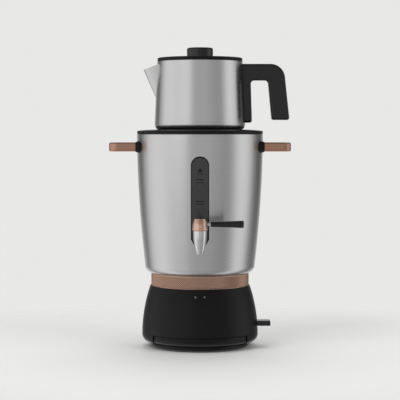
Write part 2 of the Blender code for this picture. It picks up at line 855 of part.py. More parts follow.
def make_cover(material):
    """Foot disc that closes the base, with the tray's runners and the switch pedestal."""
    spigot = housing_side(0)[0][0] - LIP_WIDTH - GAP
    inner = spigot - COVER_WALL
    floor = PAD_PROUD + COVER_WALL
    outline = [(0, PAD_PROUD)]
    outline += arc((COVER_RADIUS - COVER_FILLET, PAD_PROUD + COVER_FILLET), COVER_FILLET, -90, 0)
    outline += [
        (COVER_RADIUS, COVER_TOP),
        (spigot, COVER_TOP),
        (spigot, COVER_TOP + SPIGOT_HEIGHT - GAP),
        (inner, COVER_TOP + SPIGOT_HEIGHT - GAP),
        (inner, floor),
        (0, floor),
    ]
    cover = turned("bottom_cover", outline)
    sunk = floor - COVER_WALL / 2
    runner_top = tray_floor() - GAP
    for side in (-1, 1):
        x = side * RUNNER_SPACING
        front = math.sqrt(inner**2 - (RUNNER_SPACING + RUNNER_WIDTH) ** 2)
        unite(
            cover,
            block(
                "runner",
                (x - RUNNER_WIDTH / 2, -front + GAP, sunk),
                (x + RUNNER_WIDTH / 2, -TRAY_BACK, runner_top),
            ),
        )
        near, far = sorted((side * (TRAY_HALF + GAP), side * (TRAY_HALF + GAP + RAIL_THICKNESS)))
        front = math.sqrt(inner**2 - (TRAY_HALF + 2 * RAIL_THICKNESS) ** 2)
        unite(
            cover,
            block("rail", (near, -front + GAP, sunk), (far, -TRAY_BACK, runner_top + RAIL_HEIGHT)),
        )
    reach = TRAY_HALF + GAP + RAIL_THICKNESS
    stop = block(
        "stop",
        (-reach, -TRAY_BACK + GAP, sunk),
        (reach, -TRAY_BACK + GAP + RAIL_THICKNESS, runner_top + RAIL_HEIGHT),
    )
    unite(cover, stop)
    low, high = switch_block()
    pedestal = block(
        "pedestal",
        (low[0] + PEDESTAL_INSET, low[1] + PEDESTAL_INSET, sunk),
        (high[0] - PEDESTAL_INSET, high[1] - PEDESTAL_INSET, low[2] - GAP),
    )
    unite(cover, pedestal)
    for index in range(4):
        pad = cylinder(
            "recess", FOOT_RADIUS + GAP, PAD_PROUD - OVERRUN, PAD_PROUD + FOOT_RECESS, (0, 0, 1),
            polar(FOOT_CIRCLE, FOOT_START_ANGLE + 90 * index), FOOT_STEPS,
        )
        subtract(cover, pad)
    for angle in SCREW_ANGLES:
        hole = cylinder(
            "hole", SCREW_HOLE + GAP, -OVERRUN, floor + OVERRUN / 2, (0, 0, 1),
            polar(SCREW_CIRCLE, angle),
        )
        subtract(cover, hole)
    return finish(cover, material)


def make_feet(material):
    """Four rubber pads in the recesses under the cover."""
    top = PAD_PROUD + FOOT_RECESS - GAP
    for index in range(4):
        outline = [
            (0, 0),
            (FOOT_RADIUS - PAD_PROUD / 2, 0),
            (FOOT_RADIUS, PAD_PROUD / 2),
            (FOOT_RADIUS, top),
            (0, top),
        ]
        centre = Matrix.Translation(polar(FOOT_CIRCLE, FOOT_START_ANGLE + 90 * index))
        foot = turned(f"rubber_foot_{index + 1}", outline, FOOT_STEPS, centre)
        finish(foot, material)


def make_tray(material, pivot):
    """Pull-out drip tray whose front follows the housing's curve."""
    low = tray_floor()
    top = HOUSING_BOTTOM + TRAY_SLOT_HEIGHT - TRAY_TOP_GAP
    half = TRAY_SLOT_HALF - TRAY_SIDE_GAP
    dish = block(
        "drip_tray",
        (-TRAY_HALF, -HOUSING_RADIUS, low),
        (TRAY_HALF, -TRAY_BACK - GAP, low + TRAY_DEPTH),
    )
    keep_within(dish, housing_solid(TRAY_INSET + TRAY_PANEL / 2))
    hollow = block(
        "hollow",
        (-TRAY_HALF + TRAY_WALL, -HOUSING_RADIUS, low + TRAY_WALL),
        (TRAY_HALF - TRAY_WALL, -TRAY_BACK - GAP - TRAY_WALL, low + TRAY_DEPTH + OVERRUN),
    )
    subtract(dish, hollow)
    panel = subtract(housing_solid(TRAY_INSET), housing_solid(TRAY_INSET + TRAY_PANEL))
    keep_within(panel, block("front", (-half, -HOUSING_RADIUS, low), (half, -TRAY_SLOT_BACK, top)))
    unite(dish, panel)
    return finish(dish, material, pivot)


def make_lamps(lens_material, board_material):
    """Two light pipes in the front wall, and the board with their lamps."""
    z = lamp_level()
    face = housing_radius(z) + LAMP_PROUD
    for name, side in (("indicator_lens_left", -1), ("indicator_lens_right", 1)):
        lens = cylinder(
            name, LAMP_RADIUS, -face, -face + LAMP_LENGTH, (0, 1, 0), (side * LAMP_SPACING, 0, z)
        )
        finish(lens, lens_material)
    front = board_front()
    board = block(
        "indicator_board",
        (-BOARD_WIDTH / 2, front, z - BOARD_HEIGHT / 2),
        (BOARD_WIDTH / 2, front + BOARD_THICKNESS, z + BOARD_HEIGHT / 2),
    )
    for side in (-1, 1):
        led = cylinder(
            "led", LAMP_RADIUS, -face + LAMP_LENGTH + GAP, front + BOARD_THICKNESS / 2, (0, 1, 0),
            (side * LAMP_SPACING, 0, z),
        )
        unite(board, led)
    finish(board, board_material)


def switch_block():
    """Corners of the switch body that stands behind the paddle."""
    x, _, z = switch_pivot()
    right = x - PADDLE_HALF - GAP - PLUNGER_LENGTH
    low = (right - SWITCH_LENGTH, -SWITCH_HALF_WIDTH, z - SWITCH_HALF_HEIGHT)
    return low, (right, SWITCH_HALF_WIDTH, z + SWITCH_HALF_HEIGHT)


def make_switch(paddle_material, pin_material, body_material, pivot):
    """Paddle on its pin, and the switch that it works."""
    x, _, z = switch_pivot()
    tip = HOUSING_RADIUS + SWITCH_REACH
    outline = arc((x, z), PADDLE_HALF, 90, 270, 2 * FILLET_STEPS)
    outline += arc(
        (tip - PADDLE_CORNER, z - PADDLE_HALF + PADDLE_CORNER), PADDLE_CORNER, -90, 0, 2
    )
    outline += arc((tip - PADDLE_CORNER, z + PADDLE_HALF - PADDLE_CORNER), PADDLE_CORNER, 0, 90, 2)
    paddle = prism("switch_paddle", outline, -PADDLE_WIDTH / 2, PADDLE_WIDTH / 2, "Y")
    bore = cylinder("bore", PIN_RADIUS + GAP, -PADDLE_WIDTH, PADDLE_WIDTH, (0, 1, 0), (x, 0, z))
    finish(subtract(paddle, bore), paddle_material, pivot)
    reach = PADDLE_WIDTH / 2 + PADDLE_SIDE_GAP + EAR_THICKNESS
    pin = cylinder("switch_pin", PIN_RADIUS, -reach, reach, (0, 1, 0), (x, 0, z))
    finish(pin, pin_material)
    low, high = switch_block()
    body = block("switch_body", low, high)
    plunger = cylinder(
        "plunger", PLUNGER_RADIUS, -SWITCH_LENGTH / 2, PLUNGER_LENGTH, (1, 0, 0), (high[0], 0, z)
    )
    finish(unite(body, plunger), body_material)


def make_gland(material):
    """Bush at the back of the base that the supply lead passes through."""
    z = HOUSING_BOTTOM + GLAND_HEIGHT
    face = HOUSING_RADIUS + GAP
    outline = [
        (GLAND_BORE, face - 2 * GLAND_FLANGE - HOUSING_WALL),
        (GLAND_RADIUS, face - 2 * GLAND_FLANGE - HOUSING_WALL),
        (GLAND_RADIUS, face),
        (GLAND_FLANGE_RADIUS, face),
        (GLAND_FLANGE_RADIUS - GLAND_FLANGE / 3, face + GLAND_FLANGE),
        (GLAND_BORE, face + GLAND_FLANGE),
    ]
    gland = turned("cord_gland", outline, MEDIUM_STEPS, along((0, 1, 0), (0, 0, z)))
    return finish(gland, material)


def make_ring(material):
    """Trim ring with a diamond knurl: peaks and valleys alternate on a slanted grid."""
    inner = NECK_RADIUS + GAP
    valley = RING_RADIUS - KNURL_DEPTH
    around = 2 * KNURL_COUNT
    low = RING_BOTTOM + RING_BAND
    high = RING_TOP - RING_BAND
    levels = [(inner, RING_BOTTOM), (valley, RING_BOTTOM)]
    levels += [(None, low + (high - low) * row / KNURL_ROWS) for row in range(KNURL_ROWS + 1)]
    levels += [(valley, RING_TOP), (inner, RING_TOP)]
    bm = bmesh.new()
    rings = []
    for row, (radius, z) in enumerate(levels):
        ring = []
        for step in range(around):
            peak = (row + step) % 2 == 0
            place_radius = radius or (RING_RADIUS if peak else valley)
            angle = math.tau * step / around
            ring.append(
                bm.verts.new((place_radius * math.cos(angle), place_radius * math.sin(angle), z))
            )
        rings.append(ring)
    for row, first in enumerate(rings):
        second = rings[(row + 1) % len(rings)]
        for step in range(around):
            after = (step + 1) % around
            corners = (first[step], first[after], second[after], second[step])
            if (row + step) % 2 == 0:
                corners = corners[1:] + corners[:1]
            bm.faces.new((corners[0], corners[1], corners[2]))
            bm.faces.new((corners[0], corners[2], corners[3]))
    ring = place(bm, "knurled_ring")
    finish(ring, material)
    ring.data.shade_flat()
    return ring


# Tank


def make_tank(material):
    """Brushed steel tank with its window slot, tap and handle holes and welded studs."""
    outer = tank_side(0)
    inner = tank_side(TANK_WALL)
    outline = [(TANK_HOLE, TANK_BOTTOM)] + outer + list(reversed(inner))
    outline.append((TANK_HOLE, TANK_BOTTOM + TANK_WALL))
    tank = turned("tank_shell", outline)
    front = -TANK_RADIUS - OVERRUN
    subtract(tank, prism("slot", window_outline(0), front, -TANK_RADIUS / 2, "Y"))
    z = TANK_RIM - HANDLE_DROP
    for y in (-HANDLE_SPACING, HANDLE_SPACING):
        reach = TANK_RADIUS + OVERRUN
        hole = cylinder("hole", HANDLE_STUD_RADIUS + GAP, -reach, reach, (1, 0, 0), (0, y, z))
        subtract(tank, hole)
    for index in range(STUD_COUNT):
        angle = STUD_START_ANGLE + 360 * index / STUD_COUNT
        stud = cylinder(
            "stud", STUD_RADIUS, TANK_BOTTOM - STUD_LENGTH, TANK_BOTTOM + TANK_WALL / 2, (0, 0, 1),
            polar(stud_circle(), angle),
        )
        unite(tank, stud)
    return finish(tank, material)


def make_heater(seal_material, plate_material, element_material, thermostat_material):
    """Seal, heater plate, element, thermostat and nuts under the tank."""
    outside = NECK_RADIUS - NECK_WALL - GAP
    top = TANK_BOTTOM - GAP
    seal = turned(
        "tank_gasket",
        [(TANK_HOLE, top - SEAL_THICKNESS), (outside, top - SEAL_THICKNESS), (outside, top),
         (TANK_HOLE, top)],
    )
    cut_stud_holes(seal, top - SEAL_THICKNESS, top)
    finish(seal, seal_material)
    plate_top = top - SEAL_THICKNESS - GAP
    plate_low = plate_top - PLATE_THICKNESS
    pan = stud_circle() - FLANGE_WIDTH / 2 - PAN_MARGIN
    plate = turned(
        "heater_plate",
        [
            (0, plate_low - PAN_DEPTH),
            (pan, plate_low - PAN_DEPTH),
            (pan, plate_low),
            (outside, plate_low),
            (outside, plate_top),
            (pan - PLATE_THICKNESS, plate_top),
            (pan - PLATE_THICKNESS, plate_top - PAN_DEPTH),
            (0, plate_top - PAN_DEPTH),
        ],
    )
    cut_stud_holes(plate, plate_low, plate_top)
    finish(plate, plate_material)
    under = plate_low - PAN_DEPTH - GAP
    half_open = ELEMENT_GAP_ANGLE / 2
    path = []
    for step in range(ELEMENT_POINTS):
        angle = 90 + half_open + (360 - ELEMENT_GAP_ANGLE) * step / (ELEMENT_POINTS - 1)
        path.append(polar(ELEMENT_CIRCLE, angle, under - ELEMENT_RADIUS))
    section = arc((0, 0), ELEMENT_RADIUS, 0, 360 - 360 / ELEMENT_SIDES, ELEMENT_SIDES - 1)
    finish(swept("heating_element", path, section), element_material)
    body = [
        (0, under - THERMOSTAT_HEIGHT),
        (THERMOSTAT_RADIUS, under - THERMOSTAT_HEIGHT),
        (THERMOSTAT_RADIUS, under - THERMOSTAT_HEIGHT / 3),
        (THERMOSTAT_RADIUS / 2, under - THERMOSTAT_HEIGHT / 3),
        (THERMOSTAT_RADIUS / 2, under),
        (0, under),
    ]
    finish(turned("thermostat", body, MEDIUM_STEPS), thermostat_material)
    nut_top = plate_low - GAP - FLANGE_THICKNESS - GAP
    for index in range(STUD_COUNT):
        spot = polar(stud_circle(), STUD_START_ANGLE + 360 * index / STUD_COUNT)
        nut = cylinder(
            f"tank_nut_{index + 1}", NUT_RADIUS, nut_top - NUT_HEIGHT, nut_top, (0, 0, 1), spot, 6
        )
        bore = cylinder(
            "bore", STUD_RADIUS + GAP, nut_top - NUT_HEIGHT - OVERRUN, nut_top + OVERRUN, (0, 0, 1),
            spot,
        )
        finish(subtract(nut, bore), plate_material)


def seat_radius():
    """Radius of the recess in the collar that centres the teapot."""
    flat = TEAPOT_RADIUS - TEAPOT_FILLET
    return flat + fillet_spread(TEAPOT_FILLET, SEAT_DEPTH) + SEAT_MARGIN


def make_collar(material):
    """Black ring on the tank's rim with the teapot's seat and the steam opening."""
    inside = tank_side(TANK_WALL + GAP)[-1][0] - GAP
    outside = TANK_RADIUS - GAP
    seat = COLLAR_TOP - SEAT_DEPTH
    crown = (seat_radius() + outside) / 2
    low = COLLAR_BOTTOM - COLLAR_SKIRT
    outline = [
        (inside - COLLAR_SKIRT_WALL, low),
        (inside, low),
        (inside, COLLAR_BOTTOM),
        (outside, COLLAR_BOTTOM),
        (outside, COLLAR_EDGE - COLLAR_CHAMFER),
        (outside - COLLAR_CHAMFER, COLLAR_EDGE),
        (crown, COLLAR_TOP - COLLAR_CROWN / 3),
        (seat_radius(), COLLAR_TOP),
        (seat_radius(), seat),
        (COLLAR_OPENING, seat),
        (COLLAR_OPENING, seat - COLLAR_WEB),
        (inside - COLLAR_SKIRT_WALL, seat - COLLAR_WEB - SEAT_DEPTH),
    ]
    return finish(turned("tank_collar", outline), material)


# Gauge


def make_gauge(window_material, channel_material, seal_material, glass_material):
    """Smoked window flush in the tank's wall, and the channel with its sight tube behind it."""
    front = -TANK_RADIUS - OVERRUN
    back = channel_back()
    axis_z = tap_axis()[2]
    channel_inset = TANK_WALL + GASKET_THICKNESS + 2 * GAP
    shank_hole = [
        cylinder(
            "hole", INLET_RADIUS + GAP, front, back / 2, (0, 1, 0), (0, 0, axis_z), MEDIUM_STEPS
        )
        for _ in range(2)
    ]
    window = prism("gauge_window", window_outline(-GAP), front, back, "Y")
    keep_within(window, tank_solid(0))
    subtract(window, tank_solid(channel_inset - GAP), shank_hole[0])
    finish(window, window_material)
    gasket = prism("gauge_gasket", window_outline(CHANNEL_LAP), front, back, "Y")
    keep_within(gasket, tank_solid(TANK_WALL + GAP))
    subtract(
        gasket,
        tank_solid(TANK_WALL + GAP + GASKET_THICKNESS),
        prism("opening", window_outline(GAP), front - OVERRUN, back + OVERRUN, "Y"),
    )
    finish(gasket, seal_material)
    channel = prism("gauge_channel", window_outline(CHANNEL_LAP), front, back, "Y")
    keep_within(channel, tank_solid(channel_inset))
    tub = prism("tub", window_outline(0), front - OVERRUN, back + OVERRUN, "Y")
    subtract(channel, subtract(tank_solid(channel_inset + CHANNEL_FLANGE), tub))
    floor = back - CHANNEL_WALL
    hollow = prism("hollow", window_outline(-CHANNEL_WALL), front - OVERRUN, floor, "Y")
    subtract(channel, hollow)
    tube_y = floor - GAP - SEAL_CUP_WALL - GAP - TUBE_RADIUS
    lower = axis_z + INLET_RADIUS + TAP_HEAD
    upper = TANK_RIM - WINDOW_TOP_DROP - TUBE_TOP_DROP
    depth = 2 * (TUBE_RADIUS + SEAL_CUP_WALL)
    for low in (lower, upper):
        shelf = block(
            "shelf",
            (-SHELF_HALF, floor - depth, low),
            (SHELF_HALF, floor + CHANNEL_WALL / 2, low + SHELF_THICKNESS),
        )
        port = cylinder(
            "port", PORT_RADIUS, low - OVERRUN, low + SHELF_THICKNESS + OVERRUN, (0, 0, 1),
            (0, tube_y, 0),
        )
        unite(channel, subtract(shelf, port))
    subtract(channel, shank_hole[1])
    finish(channel, channel_material)
    cup_low = lower + SHELF_THICKNESS + GAP
    make_cup("tube_seal_lower", tube_y, cup_low, 1, seal_material)
    make_cup("tube_seal_upper", tube_y, upper - GAP, -1, seal_material)
    low = cup_low + SEAL_CUP_FLOOR + GAP
    high = upper - GAP - SEAL_CUP_FLOOR - GAP
    tube = turned(
        "sight_tube",
        [(TUBE_RADIUS - TUBE_WALL, low), (TUBE_RADIUS, low), (TUBE_RADIUS, high),
         (TUBE_RADIUS - TUBE_WALL, high)],
        MEDIUM_STEPS,
        Matrix.Translation((0, tube_y, 0)),
    )
    finish(tube, glass_material)


def make_cup(name, y, z, up, material):
    """Rubber cup that holds one end of the sight tube, open upwards or downwards."""
    outside = TUBE_RADIUS + GAP + SEAL_CUP_WALL
    outline = [
        (PORT_RADIUS, z),
        (outside, z),
        (outside, z + up * SEAL_CUP_HEIGHT),
        (TUBE_RADIUS + GAP, z + up * SEAL_CUP_HEIGHT),
        (TUBE_RADIUS + GAP, z + up * SEAL_CUP_FLOOR),
        (PORT_RADIUS, z + up * SEAL_CUP_FLOOR),
    ]
    finish(turned(name, outline, SMALL_STEPS, Matrix.Translation((0, y, 0))), material)


# Side handles


def make_side_handle(name, side, bar_material, bush_material, nut_material):
    """Copper-coloured loop with two legs, each in a flared bush with a nut inside the tank."""
    z = TANK_RIM - HANDLE_DROP
    face = tank_radius(z) + BUSH_STANDOFF
    start = face + GAP
    end = HANDLE_REACH - BAR_WIDTH / 2
    path = [(start, -HANDLE_SPACING)]
    path += arc((end - BEND_RADIUS, -HANDLE_SPACING + BEND_RADIUS), BEND_RADIUS, -90, 0, BEND_STEPS)
    path += arc((end - BEND_RADIUS, HANDLE_SPACING - BEND_RADIUS), BEND_RADIUS, 0, 90, BEND_STEPS)
    path.append((start, HANDLE_SPACING))
    half_w = BAR_WIDTH / 2
    half_h = BAR_HEIGHT / 2
    section = rounded(
        [(-half_w, -half_h, BAR_CORNER), (half_w, -half_h, BAR_CORNER),
         (half_w, half_h, BAR_CORNER), (-half_w, half_h, BAR_CORNER)],
        2,
    )
    bar = swept(f"side_handle_{name}", [(side * x, y, z) for x, y in path], section)
    for label, y in (("front", -HANDLE_SPACING), ("rear", HANDLE_SPACING)):
        wall = math.sqrt(tank_radius(z) ** 2 - y**2)
        inner_end = wall - TANK_WALL - HANDLE_STUD_DEPTH
        axis = (side, 0, 0)
        spot = (0, y, z)
        stud = cylinder(
            "stud", HANDLE_STUD_RADIUS, inner_end, start + BAR_WIDTH / 2, axis, spot
        )
        unite(bar, stud)
        bush = turned(
            f"handle_bush_{name}_{label}",
            [
                (0, wall - 2 * BUSH_RADIUS),
                (BUSH_RADIUS, wall - 2 * BUSH_RADIUS),
                (BUSH_RADIUS, wall),
                (BUSH_TIP_RADIUS, face),
                (0, face),
            ],
            MEDIUM_STEPS,
            along(axis, spot),
        )
        bore = [
            cylinder("bore", HANDLE_STUD_RADIUS + GAP, 0, HANDLE_REACH, axis, spot)
            for _ in range(2)
        ]
        subtract(bush, tank_solid(-GAP), bore[0])
        finish(bush, bush_material)
        nut = cylinder(
            f"handle_nut_{name}_{label}", HANDLE_NUT_RADIUS, wall - TANK_WALL - HANDLE_NUT_HEIGHT,
            HANDLE_REACH, axis, spot, 6,
        )
        keep_within(nut, tank_solid(TANK_WALL + GAP))
        finish(subtract(nut, bore[1]), nut_material)
    return finish(bar, bar_material)


# Tap


def make_tap(chrome, rubber, steel):
    """Tap body with its inlet shank, the gasket, the nut inside the tank and the nozzle."""
    _, y, z = tap_axis()
    axis = Matrix.Translation((0, y, 0))
    top = z + TAP_HEAD
    tail = z - TAP_TAIL
    valve_floor = z - VALVE_DROP
    outline = [(OUTLET_BORE, tail), (TAP_MOUTH_RADIUS, tail)]
    for share, width_share in TAP_SHAPE_SHARES:
        outline.append((TAP_RADIUS * width_share, tail + (top - tail) * share))
    outline += [(VALVE_BORE, top), (VALVE_BORE, valve_floor), (OUTLET_BORE, valve_floor)]
    body = turned("tap_body", outline, MEDIUM_STEPS, axis)
    flange_back = -(tank_radius(z) + TAP_GASKET)
    back = channel_back()
    root = y + (VALVE_BORE + math.sqrt(TAP_RADIUS**2 - INLET_RADIUS**2)) / 2
    shank = turned(
        "shank",
        [
            (0, root),
            (INLET_RADIUS, root),
            (INLET_RADIUS, flange_back - TAP_FLANGE),
            (TAP_FLANGE_RADIUS, flange_back - TAP_FLANGE),
            (TAP_FLANGE_RADIUS, flange_back),
            (INLET_RADIUS, flange_back),
            (INLET_RADIUS, back + SHANK_END),
            (0, back + SHANK_END),
        ],
        MEDIUM_STEPS,
        along((0, 1, 0), (0, 0, z)),
    )
    unite(body, shank)
    subtract(
        body,
        cylinder(
            "inlet", INLET_BORE, y + VALVE_BORE / 3, back + SHANK_END + OVERRUN, (0, 1, 0), (0, 0, z)
        ),
    )
    finish(body, chrome)
    gasket = cylinder(
        "tap_gasket", TAP_FLANGE_RADIUS, flange_back + GAP, -TANK_RADIUS / 2, (0, 1, 0), (0, 0, z),
        MEDIUM_STEPS,
    )
    hole = cylinder(
        "hole", INLET_RADIUS + GAP, y, -TANK_RADIUS / 3, (0, 1, 0), (0, 0, z), MEDIUM_STEPS
    )
    finish(subtract(gasket, tank_solid(-GAP), hole), rubber)
    nut = cylinder(
        "tap_nut", TAP_NUT_RADIUS, back + GAP, back + GAP + TAP_NUT_HEIGHT, (0, 1, 0), (0, 0, z), 6
    )
    hole = cylinder("hole", INLET_RADIUS + GAP, y, 0, (0, 1, 0), (0, 0, z), MEDIUM_STEPS)
    finish(subtract(nut, hole), steel)
    mouth = tail - GAP
    spigot = OUTLET_BORE - GAP
    nozzle = turned(
        "spout_nozzle",
        [
            (spigot - NOZZLE_WALL, mouth - NOZZLE_HEIGHT),
            (NOZZLE_RADIUS, mouth - NOZZLE_HEIGHT),
            (NOZZLE_RADIUS, mouth),
            (spigot, mouth),
            (spigot, mouth + NOZZLE_SPIGOT),
            (spigot - NOZZLE_WALL, mouth + NOZZLE_SPIGOT),
        ],
        MEDIUM_STEPS,
        axis,
    )
    finish(nozzle, chrome)


def make_tap_handle(copper, brass, steel, black, pivot):
    """What turns in the tap: the valve plug, the cap, the lever's rod and its grip."""
    _, y, z = tap_axis()
    axis = Matrix.Translation((0, y, 0))
    cap_low = z + TAP_HEAD + GAP
    cap_top = cap_low + CAP_HEIGHT
    lever_z = z + LEVER_RISE
    plug_radius = VALVE_BORE - 2 * VALVE_PLAY
    floor = z - VALVE_DROP + GAP
    roof = cap_top - CAP_ROOF
    plug = turned(
        "valve_plug",
        [
            (0, floor),
            (plug_radius, floor),
            (plug_radius, z + TAP_HEAD - GAP),
            (STEM_RADIUS, z + TAP_HEAD - GAP),
            (STEM_RADIUS, roof - GAP),
            (0, roof - GAP),
        ],
        MEDIUM_STEPS,
        axis,
    )
    subtract(
        plug,
        cylinder("way", VALVE_WAY, floor - OVERRUN, z + VALVE_PORT / 2, (0, 0, 1), (0, y, 0)),
        cylinder("port", VALVE_PORT, VALVE_WAY / 3, VALVE_BORE + OVERRUN, (-1, 0, 0), (0, y, z)),
        cylinder("socket", ROD_RADIUS + GAP, 0, STEM_RADIUS + OVERRUN, (1, 0, 0), (0, y, lever_z)),
    )
    finish(plug, brass, pivot)
    cap = turned(
        "tap_cap",
        [
            (STEM_RADIUS + GAP, cap_low),
            (CAP_RADIUS, cap_low),
            ((CAP_RADIUS + CAP_TOP_RADIUS) / 2 + CAP_CROWN, cap_low + CAP_HEIGHT / 2),
            (CAP_TOP_RADIUS, cap_top - CAP_CROWN),
            (CAP_TOP_RADIUS - CAP_CROWN, cap_top),
            (0, cap_top),
            (0, roof),
            (STEM_RADIUS + GAP, roof),
        ],
        MEDIUM_STEPS,
        axis,
    )
    subtract(
        cap,
        cylinder("hole", ROD_RADIUS + GAP, 0, CAP_RADIUS + OVERRUN, (1, 0, 0), (0, y, lever_z)),
    )
    finish(cap, copper, pivot)
    rod_end = LEVER_START + ROD_GRIP_DEPTH
    rod = cylinder("lever_rod", ROD_RADIUS, GAP, rod_end - GAP, (1, 0, 0), (0, y, lever_z))
    finish(rod, steel, pivot)
    end = LEVER_START + LEVER_LENGTH
    grip = turned(
        "tap_lever",
        [
            (0, rod_end),
            (ROD_RADIUS + GAP, rod_end),
            (ROD_RADIUS + GAP, LEVER_START),
            (LEVER_RADIUS, LEVER_START),
            (LEVER_END_RADIUS, end - LEVER_CROWN),
            (LEVER_END_RADIUS - LEVER_CROWN, end - LEVER_CROWN / 3),
            (0, end),
        ],
        SMALL_STEPS,
        along((1, 0, 0), (0, y, lever_z)),
    )
    finish(grip, black, pivot)


# Teapot


def spout_blank(inset):
    """Beak of the spout: rounded V sections that widen from its foot to its mouth."""
    foot = TEAPOT_RIM - SPOUT_FOOT_DROP
    tip = TEAPOT_RIM - SPOUT_TIP_DROP
    root_depth = SPOUT_ROOT + inset
    bm = bmesh.new()
    rings = []
    for share in SPOUT_SHARES:
        z = foot + (TEAPOT_RIM - foot) * share
        rise = (z - foot) / (tip - foot)
        start = teapot_radius(z) - TEAPOT_WALL
        nose = start + (SPOUT_REACH - teapot_radius(tip) + TEAPOT_WALL) * rise - inset
        half = SPOUT_FOOT_HALF + (SPOUT_HALF_WIDTH - SPOUT_FOOT_HALF) * share - inset
        root = math.sqrt(teapot_radius(z) ** 2 - half**2) - root_depth
        ring = []
        for step in range(SPOUT_STEPS + 1):
            u = 2 * step / SPOUT_STEPS - 1
            x = root + (nose - root) * (1 - abs(u) ** SPOUT_ROUNDNESS)
            ring.append(bm.verts.new((-x, half * u, z)))
        rings.append(ring)
    close_rings(bm, rings)
    return place(bm, "spout")


def make_teapot_body(material, pivot):
    """Steel teapot with its beak spout and the strainer holes behind it."""
    spout = spout_blank(0)
    tip = Vector((-SPOUT_REACH, 0, TEAPOT_RIM - SPOUT_TIP_DROP))
    mouth = Vector((-TEAPOT_TOP_RADIUS, 0, TEAPOT_RIM - SPOUT_MOUTH_DROP))
    slope = math.atan2(mouth.z - tip.z, mouth.x - tip.x)
    trim = block(
        "trim",
        (-SPOUT_REACH, -SPOUT_REACH, 0),
        (SPOUT_REACH, SPOUT_REACH, SPOUT_REACH),
    )
    trim.data.transform(Matrix.Translation(tip) @ Matrix.Rotation(-slope, 4, "Y"))
    body = unite(teapot_solid(0), subtract(spout, trim))
    body.name = "teapot_body"
    way = spout_blank(TEAPOT_WALL)
    subtract(way, teapot_solid(0, OVERRUN))
    subtract(body, teapot_solid(TEAPOT_WALL, OVERRUN), way)
    first = -(STRAINER_COLUMNS - 1) / 2
    for column in range(STRAINER_COLUMNS):
        for row in range(STRAINER_ROWS):
            y = (first + column) * STRAINER_PITCH
            z = TEAPOT_RIM - STRAINER_DROP + (first + row) * STRAINER_PITCH
            hole = cylinder(
                "hole", STRAINER_HOLE, TEAPOT_TOP_RADIUS - OVERRUN, teapot_radius(z) + TEAPOT_WALL,
                (-1, 0, 0), (0, y, z), STRAINER_STEPS,
            )
            subtract(body, hole)
    return finish(body, material, pivot)


def handle_outline():
    """Outline of the teapot handle in X and Z, with its wall side inside the teapot."""
    top = TEAPOT_RIM - GRIP_DROP
    under = top - ARM_HEIGHT
    leg = TEAPOT_TOP_RADIUS + LEG_THICKNESS
    grip = leg + FINGER_ROOM
    leg_low = TEAPOT_RIM - LEG_BOTTOM_DROP
    grip_low = TEAPOT_RIM - GRIP_END_DROP
    core = TEAPOT_TOP_RADIUS / 2
    return rounded(
        [
            (core, leg_low, 0),
            (leg + LEG_SPREAD, leg_low, END_CORNER),
            (leg, under, INNER_BEND),
            (grip, under, INNER_BEND),
            (grip + GRIP_INNER_LEAN, grip_low, END_CORNER),
            (grip + GRIP_THICKNESS + GRIP_LEAN, grip_low, END_CORNER),
            (grip + GRIP_THICKNESS, top, OUTER_BEND),
            (core, top, 0),
        ],
        FILLET_STEPS + 1,
    )


def make_teapot_handle(grip_material, steel, pivot):
    """Moulded handle, its two steel brackets on the teapot's wall and their screws."""
    handle = softened("teapot_handle", handle_outline(), GRIP_WIDTH / 2, GRIP_BEVEL)
    subtract(handle, teapot_solid(-GAP, OVERRUN + GRIP_DROP))
    top = TEAPOT_RIM - GRIP_DROP
    upper_high = top - BRACKET_INSET
    upper_low = upper_high - BRACKET_HEIGHT
    lower_high = TEAPOT_RIM - LOWER_BRACKET_DROP + LOWER_BRACKET_HEIGHT
    lower_low = TEAPOT_RIM - LOWER_BRACKET_DROP
    places = (
        ("upper", upper_low, upper_high, TEAPOT_TOP_RADIUS + BRACKET_LENGTH),
        ("lower", lower_low, lower_high, teapot_radius(lower_low) + LOWER_BRACKET_LENGTH),
    )
    for label, low, high, end in places:
        bracket = block(
            f"handle_bracket_{label}", (0, -BRACKET_HALF, low), (end, BRACKET_HALF, high)
        )
        pocket = block(
            "pocket",
            (0, -BRACKET_HALF - GAP, low - GAP),
            (end + GAP, BRACKET_HALF + GAP, high + GAP),
        )
        subtract(bracket, teapot_solid(-GAP, OVERRUN))
        subtract(handle, pocket)
        if label == "upper":
            spot = (end - (end - TEAPOT_TOP_RADIUS) * UPPER_SCREW_SHARE, 0, 0)
            axis = (0, 0, 1)
            head = top - ARM_HEIGHT
            bite = low + SCREW_BITE
        else:
            spot = (0, 0, (low + high) / 2)
            axis = (-1, 0, 0)
            share = (top - ARM_HEIGHT - spot[2]) / (top - ARM_HEIGHT - TEAPOT_RIM + LEG_BOTTOM_DROP)
            head = -(TEAPOT_TOP_RADIUS + LEG_THICKNESS + LEG_SPREAD * share)
            bite = -end + SCREW_BITE / 2
        make_handle_screw(f"handle_screw_{label}", handle, bracket, axis, spot, head, bite, steel, pivot)
        finish(bracket, steel, pivot)
    return finish(handle, grip_material, pivot)


def make_handle_screw(name, handle, bracket, axis, spot, head, bite, steel, pivot):
    """Countersunk screw through the handle into a bracket, with its holes."""
    seat = head + SCREW_HEAD + 2 * GAP
    outline = [
        (0, head + GAP),
        (SCREW_HEAD_RADIUS, head + GAP),
        (SCREW_HEAD_RADIUS, seat - GAP),
        (SCREW_RADIUS, seat - GAP),
        (SCREW_RADIUS, bite),
        (0, bite),
    ]
    finish(turned(name, outline, SMALL_STEPS, along(axis, spot)), steel, pivot)
    hole = SCREW_RADIUS + GAP
    subtract(
        handle,
        cylinder("sink", SCREW_HEAD_RADIUS + GAP, head - OVERRUN, seat, axis, spot),
        cylinder("hole", hole, head, bite + GAP, axis, spot),
    )
    subtract(bracket, cylinder("hole", hole, head, bite + GAP, axis, spot))


# Lid


